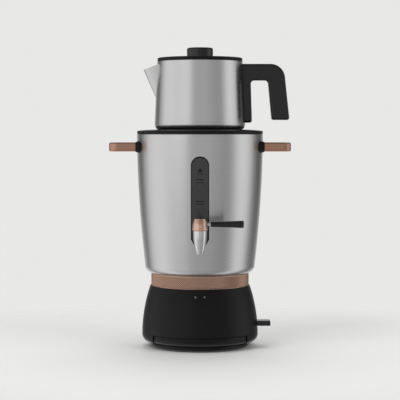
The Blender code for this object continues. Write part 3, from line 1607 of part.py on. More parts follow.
def make_lid(black, rubber, steel, pivot):
    """Lid disc with its plug and seal, the knob and the screw that holds it."""
    plug = TEAPOT_TOP_RADIUS - TEAPOT_WALL - LID_SEAL_WIDTH - 3 * GAP
    low = LID_BOTTOM - LID_PLUG_DEPTH
    roof = LID_EDGE - LID_ROOF
    hole = LID_SCREW_RADIUS + GAP
    crown = (KNOB_RADIUS + LID_RADIUS) / 2
    disc = turned(
        "lid_disc",
        [
            (hole, roof),
            (plug - LID_PLUG_WALL, roof),
            (plug - LID_PLUG_WALL, low),
            (plug, low),
            (plug, LID_BOTTOM),
            (LID_RADIUS, LID_BOTTOM),
            (LID_RADIUS, LID_EDGE - LID_EDGE_CHAMFER),
            (LID_RADIUS - LID_EDGE_CHAMFER, LID_EDGE),
            (crown, LID_EDGE + LID_CROWN / 2),
            (KNOB_RADIUS + GAP, LID_TOP),
            (hole, LID_TOP),
        ],
    )
    finish(disc, black, pivot)
    seal_low = low + (LID_PLUG_DEPTH - LID_SEAL_HEIGHT) / 2
    seal = turned(
        "lid_gasket",
        [
            (plug + GAP, seal_low),
            (plug + GAP + LID_SEAL_WIDTH, seal_low + LID_SEAL_HEIGHT / 2),
            (plug + GAP, seal_low + LID_SEAL_HEIGHT),
        ],
    )
    finish(seal, rubber, pivot)
    knob_top = KNOB_BOTTOM + KNOB_HEIGHT
    bore_top = KNOB_BOTTOM + LID_SCREW_BITE
    knob = turned(
        "lid_knob",
        [(0, bore_top + GAP), (hole, bore_top + GAP), (hole, KNOB_BOTTOM), (KNOB_RADIUS, KNOB_BOTTOM)]
        + arc((KNOB_RADIUS - KNOB_FILLET, knob_top - KNOB_FILLET), KNOB_FILLET, 0, 90)
        + [(0, knob_top)],
    )
    finish(knob, black, pivot)
    screw_top = roof - GAP
    screw = turned(
        "lid_screw",
        [
            (0, screw_top - LID_SCREW_HEAD),
            (LID_SCREW_HEAD_RADIUS, screw_top - LID_SCREW_HEAD),
            (LID_SCREW_HEAD_RADIUS, screw_top),
            (LID_SCREW_RADIUS, screw_top),
            (LID_SCREW_RADIUS, bore_top),
            (0, bore_top),
        ],
        SMALL_STEPS,
    )
    finish(screw, steel, pivot)


def main():
    """Build the samovar from its base up."""
    clear_scene()
    black = make_material("satin black plastic", rgb(0.012, 0.012, 0.013), 0.45)
    steel = make_material("brushed stainless steel", rgb(0.58, 0.58, 0.58), 0.32, 1.0)
    chrome = make_material("chrome plate", rgb(0.72, 0.72, 0.73), 0.08, 1.0)
    copper = make_material("rose gold plate", rgb(0.56, 0.31, 0.22), 0.25, 1.0)
    brass = make_material("brass", rgb(0.55, 0.42, 0.18), 0.3, 1.0)
    rubber = make_material("rubber", rgb(0.02, 0.02, 0.02), 0.8)
    silicone = make_material("silicone", rgb(0.45, 0.45, 0.43), 0.6)
    smoked = make_material("smoked window", rgb(0.05, 0.05, 0.05), 0.15, 0.0, 0.85)
    glass = make_material("glass", rgb(0.8, 0.85, 0.85), 0.05, 0.0, 0.35)
    lens = make_material("lamp lens", rgb(0.55, 0.55, 0.55), 0.3)
    board = make_material("circuit board", rgb(0.05, 0.16, 0.07), 0.6)
    x, _, z = switch_pivot()
    tray_pivot = make_pivot("tray_slide", (0, -TRAY_BACK, tray_floor()))
    switch_axis = make_pivot("switch_axis", (x, 0, z))
    tap_turn = make_pivot("tap_turn", tap_axis())
    teapot_lift = make_pivot("teapot_lift", (0, 0, TEAPOT_BOTTOM))
    lid_lift = make_pivot("lid_lift", (0, 0, LID_BOTTOM), teapot_lift)
    make_housing(black)
    make_cover(black)
    make_feet(rubber)
    make_tray(black, tray_pivot)
    make_lamps(lens, board)
    make_switch(black, steel, black, switch_axis)
    make_gland(rubber)
    make_ring(copper)
    make_tank(steel)
    make_heater(silicone, steel, steel, black)
    make_collar(black)
    make_gauge(smoked, black, rubber, glass)
    make_side_handle("left", -1, copper, black, steel)
    make_side_handle("right", 1, copper, black, steel)
    make_tap(chrome, rubber, steel)
    make_tap_handle(copper, brass, steel, black, tap_turn)
    make_teapot_body(steel, teapot_lift)
    make_teapot_handle(black, steel, teapot_lift)
    make_lid(black, silicone, steel, lid_lift)


if __name__ == "__main__":
    main()
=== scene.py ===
"""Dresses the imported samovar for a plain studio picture.

Each sub-assembly is a class whose fields are sizes in metres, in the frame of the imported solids:
Z is up, the tap points to -Y, the teapot's spout to -X and its handle to +X. Each finish is a
frozen dataclass that builds one procedural material.
"""

import json
import logging
import math
from dataclasses import dataclass, field
from enum import Enum

import bmesh
import bpy
from mathutils import Matrix, Vector

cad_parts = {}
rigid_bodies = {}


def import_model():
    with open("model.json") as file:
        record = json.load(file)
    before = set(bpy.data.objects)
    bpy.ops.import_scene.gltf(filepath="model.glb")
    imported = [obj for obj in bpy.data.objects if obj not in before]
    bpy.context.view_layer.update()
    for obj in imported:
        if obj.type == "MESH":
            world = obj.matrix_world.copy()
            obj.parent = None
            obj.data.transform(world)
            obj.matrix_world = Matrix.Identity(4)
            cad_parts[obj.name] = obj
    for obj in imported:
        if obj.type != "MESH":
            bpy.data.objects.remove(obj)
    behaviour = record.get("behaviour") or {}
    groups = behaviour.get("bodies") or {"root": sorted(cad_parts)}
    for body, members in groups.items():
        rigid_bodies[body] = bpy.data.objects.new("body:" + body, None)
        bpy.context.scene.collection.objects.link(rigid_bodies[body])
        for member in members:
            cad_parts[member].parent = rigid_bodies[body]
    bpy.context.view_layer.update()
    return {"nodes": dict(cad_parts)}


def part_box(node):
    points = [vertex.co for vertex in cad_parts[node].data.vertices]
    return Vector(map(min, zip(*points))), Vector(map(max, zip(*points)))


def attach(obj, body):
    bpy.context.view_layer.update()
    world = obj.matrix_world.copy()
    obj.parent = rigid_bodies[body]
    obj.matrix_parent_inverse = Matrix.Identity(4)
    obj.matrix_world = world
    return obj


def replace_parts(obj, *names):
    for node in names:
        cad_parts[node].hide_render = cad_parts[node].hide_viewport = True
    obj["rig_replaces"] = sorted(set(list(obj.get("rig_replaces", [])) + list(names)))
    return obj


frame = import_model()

LOG = logging.getLogger("samovar")

Outline = list[tuple[float, float]]
Object = bpy.types.Object
Material = bpy.types.Material
Tree = bpy.types.NodeTree
Node = bpy.types.Node
Socket = bpy.types.NodeSocket

GAP = 0.0003
OVERRUN = 0.004
FINE = 168
MEDIUM = 72
SMALL = 32
LEVELS = 26
SHARP = math.radians(32)
VALLEY = "valley"


# Shared helpers


class Cut(Enum):
    """What a Boolean does with its tool."""

    AWAY = "DIFFERENCE"
    JOIN = "UNION"
    KEEP = "INTERSECT"


class Grain(Enum):
    """Which way a metal was brushed."""

    AROUND = "around the vertical axis"
    LENGTHWISE = "along the bar"


def linear(code: str) -> tuple[float, float, float, float]:
    """Turn an sRGB hex colour into linear values.

    Args:
        code: six hex digits after a hash sign.

    Returns:
        Red, green, blue and full alpha.
    """
    parts = [int(code[start : start + 2], 16) / 255 for start in (1, 3, 5)]
    red, green, blue = (
        part / 12.92 if part <= 0.04045 else ((part + 0.055) / 1.055) ** 2.4 for part in parts
    )
    return (red, green, blue, 1.0)


def add_node(tree: Tree, kind: str, inputs: dict | None = None, **settings) -> Node:
    """Add one node with its settings, values and links.

    Args:
        tree: the tree that takes the node.
        kind: the node's type name.
        inputs: a value or an output socket for each input, by name or index.
        settings: attributes of the node.

    Returns:
        The new node.
    """
    node = tree.nodes.new(kind)
    for name, value in settings.items():
        setattr(node, name, value)
    for key, value in (inputs or {}).items():
        if isinstance(value, Socket):
            tree.links.new(value, node.inputs[key])
        else:
            node.inputs[key].default_value = value
    return node


def linked(name: str, data: bpy.types.ID) -> Object:
    """Make an object of its data and link it to the scene.

    Args:
        name: the object's name.
        data: its mesh, lamp or camera.

    Returns:
        The new object.
    """
    obj = bpy.data.objects.new(name, data)
    bpy.context.scene.collection.objects.link(obj)
    return obj


def new_piece(bm: bmesh.types.BMesh, name: str) -> Object:
    """Turn a bmesh into a smooth object with outward normals.

    Args:
        bm: the mesh being built, which is freed.
        name: the piece's name.

    Returns:
        The object, linked to the scene.
    """
    bmesh.ops.remove_doubles(bm, verts=bm.verts, dist=1e-7)
    bmesh.ops.recalc_face_normals(bm, faces=bm.faces)
    mesh = bpy.data.meshes.new(name)
    bm.to_mesh(mesh)
    bm.free()
    return smooth(linked(name, mesh))


def smooth(obj: Object, angle: float = SHARP) -> Object:
    """Shade an object smooth, with its sharp edges kept.

    Args:
        obj: the object.
        angle: edges that turn more than this stay sharp.

    Returns:
        The same object.
    """
    obj.data.shade_smooth()
    obj.data.set_sharp_from_angle(angle=angle)
    return obj


def lathe(name: str, outline: Outline, steps: int = FINE, matrix: Matrix | None = None) -> Object:
    """Turn an outline about Z into a closed body.

    Args:
        name: the piece's name.
        outline: (radius, height) points. It may start and end on the axis.
        steps: facets round the axis.
        matrix: where the turned body goes.

    Returns:
        The new object.
    """
    bm = bmesh.new()
    rings = []
    for radius, height in outline:
        if radius <= 0:
            rings.append([bm.verts.new((0, 0, height))] * steps)
            continue
        spots = [math.tau * step / steps for step in range(steps)]
        rings.append(
            [bm.verts.new((radius * math.cos(a), radius * math.sin(a), height)) for a in spots]
        )
    pairs = list(zip(rings, rings[1:]))
    if outline[0][0] > 0 or outline[-1][0] > 0:
        pairs.append((rings[-1], rings[0]))
    for first, second in pairs:
        for step in range(steps):
            after = (step + 1) % steps
            corners = dict.fromkeys((first[step], first[after], second[after], second[step]))
            if len(corners) > 2:
                bm.faces.new(list(corners))
    if matrix is not None:
        bm.transform(matrix)
    return new_piece(bm, name)


def skin(bm: bmesh.types.BMesh, rings: list) -> None:
    """Skin a stack of vertex rings and cap its ends.

    Args:
        bm: the mesh being built.
        rings: lists of vertices of equal length.
    """
    bm.faces.new(rings[0])
    bm.faces.new(rings[-1])
    for first, second in zip(rings, rings[1:]):
        for step in range(len(first)):
            after = (step + 1) % len(first)
            bm.faces.new((first[step], first[after], second[after], second[step]))
    bm.normal_update()
    caps = [face for face in bm.faces if len(face.verts) > 4]
    bmesh.ops.triangulate(bm, faces=caps)


def prism(name: str, outline: Outline, low: float, high: float, axis: str = "Z") -> Object:
    """Extrude a flat outline along an axis.

    Args:
        name: the piece's name.
        outline: points in the two other axes, in X, Y, Z order.
        low: where the prism starts on the axis.
        high: where it ends.
        axis: X, Y or Z.

    Returns:
        The new object.
    """
    lay = {
        "X": lambda u, v, w: (w, u, v),
        "Y": lambda u, v, w: (u, w, v),
        "Z": lambda u, v, w: (u, v, w),
    }[axis]
    bm = bmesh.new()
    skin(bm, [[bm.verts.new(lay(u, v, w)) for u, v in outline] for w in (low, high)])
    return new_piece(bm, name)


def box(name: str, low: tuple, high: tuple) -> Object:
    """Make a rectangular cutter between two corners.

    Args:
        name: the cutter's name.
        low: its lowest corner.
        high: its highest corner.

    Returns:
        The new object.
    """
    corners = [(low[0], low[1]), (high[0], low[1]), (high[0], high[1]), (low[0], high[1])]
    return prism(name, corners, low[2], high[2])


def arc(centre: tuple, radius: float, start: float, end: float, steps: int = 10) -> Outline:
    """List the points of an arc.

    Args:
        centre: its middle, in the outline's plane.
        radius: its radius.
        start: where it starts, in degrees.
        end: where it ends, in degrees.
        steps: how many chords it has.

    Returns:
        The points, both ends among them.
    """
    turns = [math.radians(start + (end - start) * step / steps) for step in range(steps + 1)]
    return [
        (centre[0] + radius * math.cos(turn), centre[1] + radius * math.sin(turn)) for turn in turns
    ]


def rounded(corners: list, steps: int = 8) -> Outline:
    """Round each corner of an outline by its own radius.

    Args:
        corners: (u, v, radius) for each corner, in order.
        steps: chords on each rounded corner.

    Returns:
        The rounded outline.
    """
    points = []
    for index, (u, v, radius) in enumerate(corners):
        here = Vector((u, v))
        before = Vector(corners[index - 1][:2]) - here
        after = Vector(corners[(index + 1) % len(corners)][:2]) - here
        if radius <= 0:
            points.append((u, v))
            continue
        half = before.angle(after) / 2
        setback = radius / math.tan(half)
        middle = here + (before.normalized() + after.normalized()).normalized() * (
            radius / math.sin(half)
        )
        start = here + before.normalized() * setback - middle
        sweep = start.angle_signed(here + after.normalized() * setback - middle)
        for step in range(steps + 1):
            points.append(tuple(middle + Matrix.Rotation(-sweep * step / steps, 2) @ start))
    return points


def flowing(points: Outline, steps: int = 8) -> Outline:
    """Run a smooth curve through a few points of an outline.

    Args:
        points: the points that it passes through.
        steps: chords between two of them.

    Returns:
        The points of the curve.
    """
    spots = [Vector(point) for point in points]
    curve = []
    for index in range(len(spots) - 1):
        first, second = spots[index], spots[index + 1]
        lead = spots[index - 1] if index else first
        tail = spots[index + 2] if index + 2 < len(spots) else second
        for step in range(steps):
            t = step / steps
            near, far = (second - lead) / 2, (tail - first) / 2
            spot = first * (2 * t**3 - 3 * t**2 + 1) + near * (t**3 - 2 * t**2 + t)
            spot += second * (3 * t**2 - 2 * t**3) + far * (t**3 - t**2)
            curve.append(tuple(spot))
    return curve + [tuple(spots[-1])]


def along(axis: tuple, origin: tuple = (0, 0, 0)) -> Matrix:
    """Lay local Z along an axis through a point.

    Args:
        axis: the direction that Z takes.
        origin: the point.

    Returns:
        The matrix.
    """
    turn = Vector((0, 0, 1)).rotation_difference(Vector(axis)).to_matrix().to_4x4()
    return Matrix.Translation(origin) @ turn


def rod(
    name: str, radius: float, low: float, high: float, axis: tuple, origin: tuple, steps: int = SMALL
) -> Object:
    """Make a solid round bar along an axis through a point.

    Args:
        name: the piece's name.
        radius: its radius.
        low: where it starts on the axis.
        high: where it ends.
        axis: its direction.
        origin: the point.
        steps: facets round it.

    Returns:
        The new object.
    """
    return lathe(name, [(0, low), (radius, low), (radius, high), (0, high)], steps, along(axis, origin))


def carve(target: Object, how: Cut, *tools: Object) -> Object:
    """Apply exact Booleans to a target and remove their tools.

    Args:
        target: the body that changes.
        how: what each tool does to it.
        tools: the tool bodies.

    Returns:
        The changed target.
    """
    for tool in tools:
        step = target.modifiers.new(how.name, "BOOLEAN")
        step.operation, step.solver, step.object = how.value, "EXACT", tool
        bake(target)
        bpy.data.objects.remove(tool)
    return smooth(target)


def bake(obj: Object) -> Object:
    """Turn an object's modifiers into its plain mesh.

    Args:
        obj: an object with live modifiers.

    Returns:
        The same object, without modifiers.
    """
    bpy.context.view_layer.update()
    graph = bpy.context.evaluated_depsgraph_get()
    mesh = bpy.data.meshes.new_from_object(obj.evaluated_get(graph))
    obj.modifiers.clear()
    obj.data = mesh
    return obj


# Finishes


@dataclass(frozen=True)
class Finish:
    """One procedural finish: its record slot, its colour and how it meets light."""

    name: str
    slot: str
    colour: str
    roughness: float
    metallic: float = 0.0
    spread: float = 0.05

    def material(self) -> Material:
        """Return the finish's material, built on first use."""
        return bpy.data.materials.get(self.name) or self.build()

    def build(self) -> Material:
        """Build the material.

        Returns:
            A new material with the finish's name.
        """
        material = bpy.data.materials.new(self.name)
        material.use_nodes = True
        tree = material.node_tree
        shader = tree.nodes["Principled BSDF"]
        shader.inputs["Base Color"].default_value = linear(self.colour)
        shader.inputs["Roughness"].default_value = self.roughness
        shader.inputs["Metallic"].default_value = self.metallic
        place = add_node(tree, "ShaderNodeTexCoord").outputs["Object"]
        self.pattern(tree, shader, place)
        return material

    def pattern(self, tree: Tree, shader: Node, place: Socket) -> None:
        """Add what the surface shows up close.

        Args:
            tree: the material's tree.
            shader: its principled shader.
            place: object coordinates in metres.
        """
        raise NotImplementedError

    def vary(self, tree: Tree, shader: Node, value: Socket) -> None:
        """Spread the roughness about its mean.

        Args:
            tree: the material's tree.
            shader: its principled shader.
            value: a pattern from 0 to 1.
        """
        add = add_node(
            tree,
            "ShaderNodeMapRange",
            {"Value": value, "To Min": self.roughness - self.spread, "To Max": self.roughness + self.spread},
        )
        tree.links.new(add.outputs["Result"], shader.inputs["Roughness"])

    def tint(self, tree: Tree, shader: Node, value: Socket, other: str) -> None:
        """Blend the colour towards another one.

        Args:
            tree: the material's tree.
            shader: its principled shader.
            value: a pattern from 0 to 1.
            other: the colour where the pattern is 1.
        """
        mix = add_node(
            tree, "ShaderNodeMix", {0: value, 6: linear(self.colour), 7: linear(other)}, data_type="RGBA"
        )
        tree.links.new(mix.outputs[2], shader.inputs["Base Color"])


@dataclass(frozen=True)
class BrushedMetal(Finish):
    """Metal drawn against abrasive belts, with fine scratches in one direction."""

    grain: Grain = Grain.AROUND
    scratch: float = 0.0003
    length: float = 0.06
    depth: float = 0.000001
    shade: str = "#C4C4C3"
    anisotropy: float = 0.55
    grain_turn: float = 0.25

    def pattern(self, tree: Tree, shader: Node, place: Socket) -> None:
        """Add scratches that run with the grain, and a faint drift of tone.

        Args:
            tree: the material's tree.
            shader: its principled shader.
            place: object coordinates in metres.
        """
        fast, slow = 1 / self.scratch, 1 / self.length
        scale = (slow, slow, fast) if self.grain is Grain.AROUND else (fast, slow, fast)
        stretched = add_node(tree, "ShaderNodeMapping", {"Vector": place, "Scale": scale})
        scratches = add_node(
            tree,
            "ShaderNodeTexNoise",
            {"Vector": stretched.outputs["Vector"], "Scale": 1.0, "Detail": 3.0, "Roughness": 0.6},
        )
        drift = add_node(
            tree, "ShaderNodeTexNoise", {"Vector": place, "Scale": slow, "Detail": 2.0}
        )
        self.vary(tree, shader, scratches.outputs["Fac"])
        blend = add_node(
            tree,
            "ShaderNodeMath",
            {0: scratches.outputs["Fac"], 1: drift.outputs["Fac"]},
            operation="MULTIPLY",
        )
        self.tint(tree, shader, blend.outputs["Value"], self.shade)
        bump = add_node(
            tree,
            "ShaderNodeBump",
            {"Height": scratches.outputs["Fac"], "Strength": 0.5, "Distance": self.depth},
        )
        tree.links.new(bump.outputs["Normal"], shader.inputs["Normal"])
        if self.grain is Grain.AROUND:
            tangent = add_node(tree, "ShaderNodeTangent", direction_type="RADIAL", axis="Z")
            tree.links.new(tangent.outputs["Tangent"], shader.inputs["Tangent"])
            shader.inputs["Anisotropic"].default_value = self.anisotropy
            shader.inputs["Anisotropic Rotation"].default_value = self.grain_turn


@dataclass(frozen=True)
class PolishedMetal(Finish):
    """Plated or polished metal with faint haze from handling."""

    haze: float = 0.012
    shade: str = "#D0D0D0"

    def pattern(self, tree: Tree, shader: Node, place: Socket) -> None:
        """Add haze and a trace of polishing swirls.

        Args:
            tree: the material's tree.
            shader: its principled shader.
            place: object coordinates in metres.
        """
        haze = add_node(
            tree,
            "ShaderNodeTexNoise",
            {"Vector": place, "Scale": 1 / self.haze, "Detail": 5.0, "Roughness": 0.55},
        )
        self.vary(tree, shader, haze.outputs["Fac"])
        self.tint(tree, shader, haze.outputs["Fac"], self.shade)


@dataclass(frozen=True)
class KnurledMetal(Finish):
    """Turned and anodised metal with a pressed knurl, darkened with painted shade where the knurl is deep."""

    haze: float = 0.012
    # The colour of the painted shade at the bottom of the knurl's grooves
    groove: str = "#4A352B"

    def pattern(self, tree: Tree, shader: Node, place: Socket) -> None:
        """Add haze, and painted shade in the grooves.

        Args:
            tree: the material's tree.
            shader: its principled shader.
            place: object coordinates in metres.
        """
        haze = add_node(tree, "ShaderNodeTexNoise", {"Vector": place, "Scale": 1 / self.haze, "Detail": 3.0})
        self.vary(tree, shader, haze.outputs["Fac"])
        # The valley attribute marks the knurl's grooves, where the colour blends to painted shade
        valley = add_node(tree, "ShaderNodeAttribute", attribute_name=VALLEY)
        self.tint(tree, shader, valley.outputs["Fac"], self.groove)


@dataclass(frozen=True)
class Moulding(Finish):
    """Moulded plastic or rubber with the fine spark-eroded texture of its tool."""

    texture: float = 0.0007
    depth: float = 0.00002
    patch: float = 40.0
    coat: float = 0.0
    coat_roughness: float = 0.3
    specular: float = 0.5
    shade: str = "#0B0B0C"

    def pattern(self, tree: Tree, shader: Node, place: Socket) -> None:
        """Add the tool's texture and patches that hands have polished.

        Args:
            tree: the material's tree.
            shader: its principled shader.
            place: object coordinates in metres.
        """
        texture = add_node(
            tree,
            "ShaderNodeTexNoise",
            {"Vector": place, "Scale": 1 / self.texture, "Detail": 2.0, "Roughness": 0.5},
        )
        patches = add_node(
            tree,
            "ShaderNodeTexNoise",
            {"Vector": place, "Scale": 1 / (self.patch * self.texture), "Detail": 4.0, "Roughness": 0.6},
        )
        self.vary(tree, shader, patches.outputs["Fac"])
        self.tint(tree, shader, patches.outputs["Fac"], self.shade)
        bump = add_node(
            tree,
            "ShaderNodeBump",
            {"Height": texture.outputs["Fac"], "Strength": 0.6, "Distance": self.depth},
        )
        tree.links.new(bump.outputs["Normal"], shader.inputs["Normal"])
        shader.inputs["Specular IOR Level"].default_value = self.specular
        shader.inputs["Coat Weight"].default_value = self.coat
        shader.inputs["Coat Roughness"].default_value = self.coat_roughness


@dataclass(frozen=True)
class ClearMoulding(Finish):
    """Clear or smoked plastic or glass."""

    clarity: float = 0.9
    ior: float = 1.49
    streak: float = 0.02

    def pattern(self, tree: Tree, shader: Node, place: Socket) -> None:
        """Let light through, and add faint flow marks.

        Args:
            tree: the material's tree.
            shader: its principled shader.
            place: object coordinates in metres.
        """
        flow = add_node(
            tree, "ShaderNodeTexNoise", {"Vector": place, "Scale": 1 / self.streak, "Detail": 3.0}
        )
        self.vary(tree, shader, flow.outputs["Fac"])
        shader.inputs["Transmission Weight"].default_value = self.clarity
        shader.inputs["IOR"].default_value = self.ior


# 18/10 stainless sheet, spun and belt-brushed round its axis: soft upright bands of light
STEEL = BrushedMetal(
    name="brushed stainless steel", slot="brushed_steel", colour="#CDCDCD", roughness=0.27, metallic=1.0,
    spread=0.01,
)
# The same steel left as rolled, for what is inside: duller and without a grain to see
MILL_STEEL = PolishedMetal(
    name="mill finish stainless steel", slot="brushed_steel", colour="#B9B8B5", roughness=0.36,
    metallic=1.0, spread=0.06,
)
# Zinc die casting with bright chrome over nickel: hard, nearly white reflections
CHROME = PolishedMetal(
    name="bright chrome plate", slot="chrome_plate", colour="#DADADB", roughness=0.09, metallic=1.0,
    spread=0.03,
)
# Aluminium, fine-turned and anodised a pale copper: satin, with warm soft highlights
COPPER = PolishedMetal(
    name="copper anodised aluminium", slot="copper_anodised", colour="#DDB8A2", roughness=0.24,
    metallic=1.0, spread=0.05, haze=0.02, shade="#D3AB94",
)
# The same anodising over a pressed knurl: a weave of light ridges and grooves darkened with painted shade
KNURL = KnurledMetal(
    name="knurled copper anodised aluminium", slot="copper_anodised", colour="#EBC6B1", roughness=0.36,
    metallic=1.0, spread=0.05, groove="#8A6855",
)
# The same anodising on a bar that was brushed along its grip: long soft streaks
COPPER_BAR = BrushedMetal(
    name="brushed copper anodised bar", slot="copper_anodised", colour="#B98F7A", roughness=0.28,
    metallic=1.0, spread=0.04, grain=Grain.LENGTHWISE, length=0.03, shade="#AB806B",
)
# Dezincified brass, turned: yellow and slightly dull where water runs
BRASS = PolishedMetal(
    name="turned brass", slot="valve_brass", colour="#B99A5B", roughness=0.3, metallic=1.0, spread=0.08,
    haze=0.01, shade="#A3854A",
)
# Heat-resistant polyamide from a spark-eroded tool: black, with broad soft highlights
BLACK = Moulding(
    name="satin black polyamide", slot="satin_black", colour="#0A0A0A", roughness=0.4, spread=0.05,
    specular=0.22,
)
# The same polyamide from a polished tool, where hands go: deeper black, with narrow streaks of light
GLOSS = Moulding(
    name="polished black polyamide", slot="satin_black", colour="#080808", roughness=0.22, spread=0.04,
    depth=0.000003, specular=0.5,
)
# Nitrile rubber: dead black, almost without gloss
RUBBER = Moulding(
    name="black nitrile rubber", slot="black_rubber", colour="#161617", roughness=0.75, spread=0.08,
    texture=0.0011, specular=0.3, shade="#101011",
)
# Platinum-cured silicone: milky, with a waxy sheen
SILICONE = Moulding(
    name="translucent silicone", slot="silicone_seal", colour="#B9B9B1", roughness=0.5, spread=0.05,
    texture=0.0015, depth=0.00001, shade="#AEAEA4",
)
# Smoked polycarbonate: dark grey, it lets the sight tube show faintly
SMOKED = ClearMoulding(
    name="smoked polycarbonate", slot="smoked_window", colour="#414141", roughness=0.2, spread=0.03,
    clarity=0.4, ior=1.5,
)
# Borosilicate tube: clear, bright at its edges
GLASS = ClearMoulding(
    name="borosilicate glass", slot="tube_glass", colour="#F2F6F5", roughness=0.03, spread=0.01,
    clarity=1.0, ior=1.47,
)
# Frosted acrylic light pipe: two grey points while the lamps are off
LENS = ClearMoulding(
    name="frosted acrylic", slot="lamp_lens", colour="#767676", roughness=0.35, spread=0.05,
    clarity=0.3, ior=1.49,
)
# Glass-fibre board under green solder resist
BOARD = Moulding(
    name="green solder resist", slot="circuit_board", colour="#2A5A34", roughness=0.4, spread=0.08,
    texture=0.0009, depth=0.00003, coat=0.2, shade="#1F4A2A",
)
# Dark pad-printed ink: flat and slightly worn
INK = Moulding(
    name="dark pad printing", slot="smoked_window", colour="#131314", roughness=0.6, spread=0.05,
    texture=0.0006, depth=0.000005, specular=0.3, shade="#1B1B1C",
)


# Geometry node trees


def node_group(name: str, sizes: dict[str, str]) -> tuple[Tree, Node]:
    """Start a geometry tree with its inputs.

    Args:
        name: the tree's name.
        sizes: socket type by input name.

    Returns:
        The tree and its input node.
    """
    tree = bpy.data.node_groups.new(name, "GeometryNodeTree")
    tree.interface.new_socket("Geometry", in_out="INPUT", socket_type="NodeSocketGeometry")
    for label, kind in sizes.items():
        tree.interface.new_socket(label, in_out="INPUT", socket_type=kind)
    tree.interface.new_socket("Geometry", in_out="OUTPUT", socket_type="NodeSocketGeometry")
    return tree, tree.nodes.new("NodeGroupInput")


def close_group(tree: Tree, geometry: Socket, finish: Finish) -> None:
    """End a geometry tree in real, dressed geometry.

    Args:
        tree: the tree.
        geometry: what it has made.
        finish: the finish that all of it takes.
    """
    real = add_node(tree, "GeometryNodeRealizeInstances", {"Geometry": geometry})
    dressed = add_node(
        tree,
        "GeometryNodeSetMaterial",
        {"Geometry": real.outputs["Geometry"], "Material": finish.material()},
    )
    out = tree.nodes.new("NodeGroupOutput")
    tree.links.new(dressed.outputs["Geometry"], out.inputs["Geometry"])


def run_group(obj: Object, tree: Tree, values: dict) -> Object:
    """Run a geometry tree on an object and keep its result as a plain mesh.

    Args:
        obj: the object that the tree starts from.
        tree: the tree.
        values: a value for each named input.

    Returns:
        The same object.
    """
    modifier = obj.modifiers.new(tree.name, "NODES")
    modifier.node_group = tree
    for item in tree.interface.items_tree:
        if item.item_type == "SOCKET" and item.in_out == "INPUT" and item.name in values:
            modifier[item.identifier] = values[item.name]
    return bake(obj)


def points_object(name: str, spots: list) -> Object:
    """Make an object of loose points.

    Args:
        name: the object's name.
        spots: where the points are.

    Returns:
        The new object.
    """
    mesh = bpy.data.meshes.new(name)
    mesh.from_pydata([tuple(spot) for spot in spots], [], [])
    return linked(name, mesh)


def repeat(name: str, unit: Object, spots: list, finish: Finish, turn: tuple = (0, 0, 0)) -> Object:
    """Set copies of a unit piece on points, as one mesh.

    Args:
        name: the piece's name.
        unit: the piece that is repeated, which is removed.
        spots: where the copies go.
        finish: their finish.
        turn: how each copy is turned, in radians.

    Returns:
        The new object.
    """
    tree, given = node_group(
        "copies on points",
        {"Unit": "NodeSocketObject", "Turn": "NodeSocketRotation"},
    )
    unit_mesh = add_node(tree, "GeometryNodeObjectInfo", {"Object": given.outputs["Unit"]})
    copies = add_node(
        tree,
        "GeometryNodeInstanceOnPoints",
        {
            "Points": given.outputs["Geometry"],
            "Instance": unit_mesh.outputs["Geometry"],
            "Rotation": given.outputs["Turn"],
        },
    )
    close_group(tree, copies.outputs["Instances"], finish)
    piece = run_group(points_object(name, spots), tree, {"Unit": unit, "Turn": turn})
    bpy.data.objects.remove(unit)
    return smooth(piece)


def screw_head(radius: float, height: float, recess: float) -> Object:
    """Make a domed screw head with a cross recess, its top at +Z.

    Args:
        radius: the head's radius.
        height: its height.
        recess: half the length of the cross.

    Returns:
        The new object, standing on Z = 0.
    """
    outline = [(0, 0), (radius, 0), (radius, 0.35 * height)]
    outline += arc((radius - 0.65 * height, 0.35 * height), 0.65 * height, 0, 80, 6) + [(0, 1.02 * height)]
    head = lathe("screw head", outline, SMALL)
    bar = 0.3 * recess
    for long, short in ((recess, bar), (bar, recess)):
        carve(head, Cut.AWAY, box("slot", (-long, -short, 0.45 * height), (long, short, 2 * height)))
    return head


# Shapes that several pieces share


@dataclass(frozen=True)
class TurnedShape:
    """A turned wall between two heights, with a rounded foot."""

    low: float
    high: float
    radius: float
    change: float
    fillet: float

    def radius_at(self, z: float) -> float:
        """Return the outer radius at a height."""
        raise NotImplementedError

    def share(self, z: float) -> float:
        """Return how far up the wall a height is, from 0 at its foot to 1 at its rim."""
        knee = self.low + self.fillet
        return (z - knee) / (self.high - knee)

    def side(self, inset: float = 0.0, top: float | None = None) -> Outline:
        """List the wall's points from its flat foot upwards.

        Args:
            inset: how far they lie inside the outer face.
            top: where they stop, or the rim if None.

        Returns:
            The points.
        """
        knee = self.low + self.fillet
        top = self.high if top is None else top
        points = arc((self.radius_at(knee) - self.fillet, knee), self.fillet - inset, -90, 0, 14)
        for step in range(1, LEVELS + 1):
            z = knee + (top - knee) * step / LEVELS
            points.append((self.radius_at(z) - inset, z))
        return points

    def solid(self, inset: float = 0.0, rise: float = 0.0) -> Object:
        """Make the solid inside the wall.

        Args:
            inset: how far its side lies inside the outer face.
            rise: how far it runs past the rim.

        Returns:
            The new object.
        """
        side = self.side(inset)
        top = side[-1][1] + rise
        points = [(0, side[0][1])] + side
        if rise > 0:
            points.append((side[-1][0], top))
        return lathe("solid", points + [(0, top)])


@dataclass(frozen=True)
class HousingShape(TurnedShape):
    """The base's wall, which narrows to its shoulder."""

    low: float = 0.0081
    high: float = 0.0966
    radius: float = 0.0914
    change: float = 0.0129
    fillet: float = 0.012

    def radius_at(self, z: float) -> float:
        """Return the outer radius at a height."""
        return self.radius - self.change * max(self.share(z), 0) ** 2


@dataclass(frozen=True)
class TankShape(TurnedShape):
    """The tank's wall, which flares to its rim."""

    low: float = 0.1166
    high: float = 0.3346
    radius: float = 0.0992
    change: float = 0.0128
    fillet: float = 0.012

    def radius_at(self, z: float) -> float:
        """Return the outer radius at a height."""
        return self.radius - self.change * max(1 - self.share(z), 0) ** 1.85


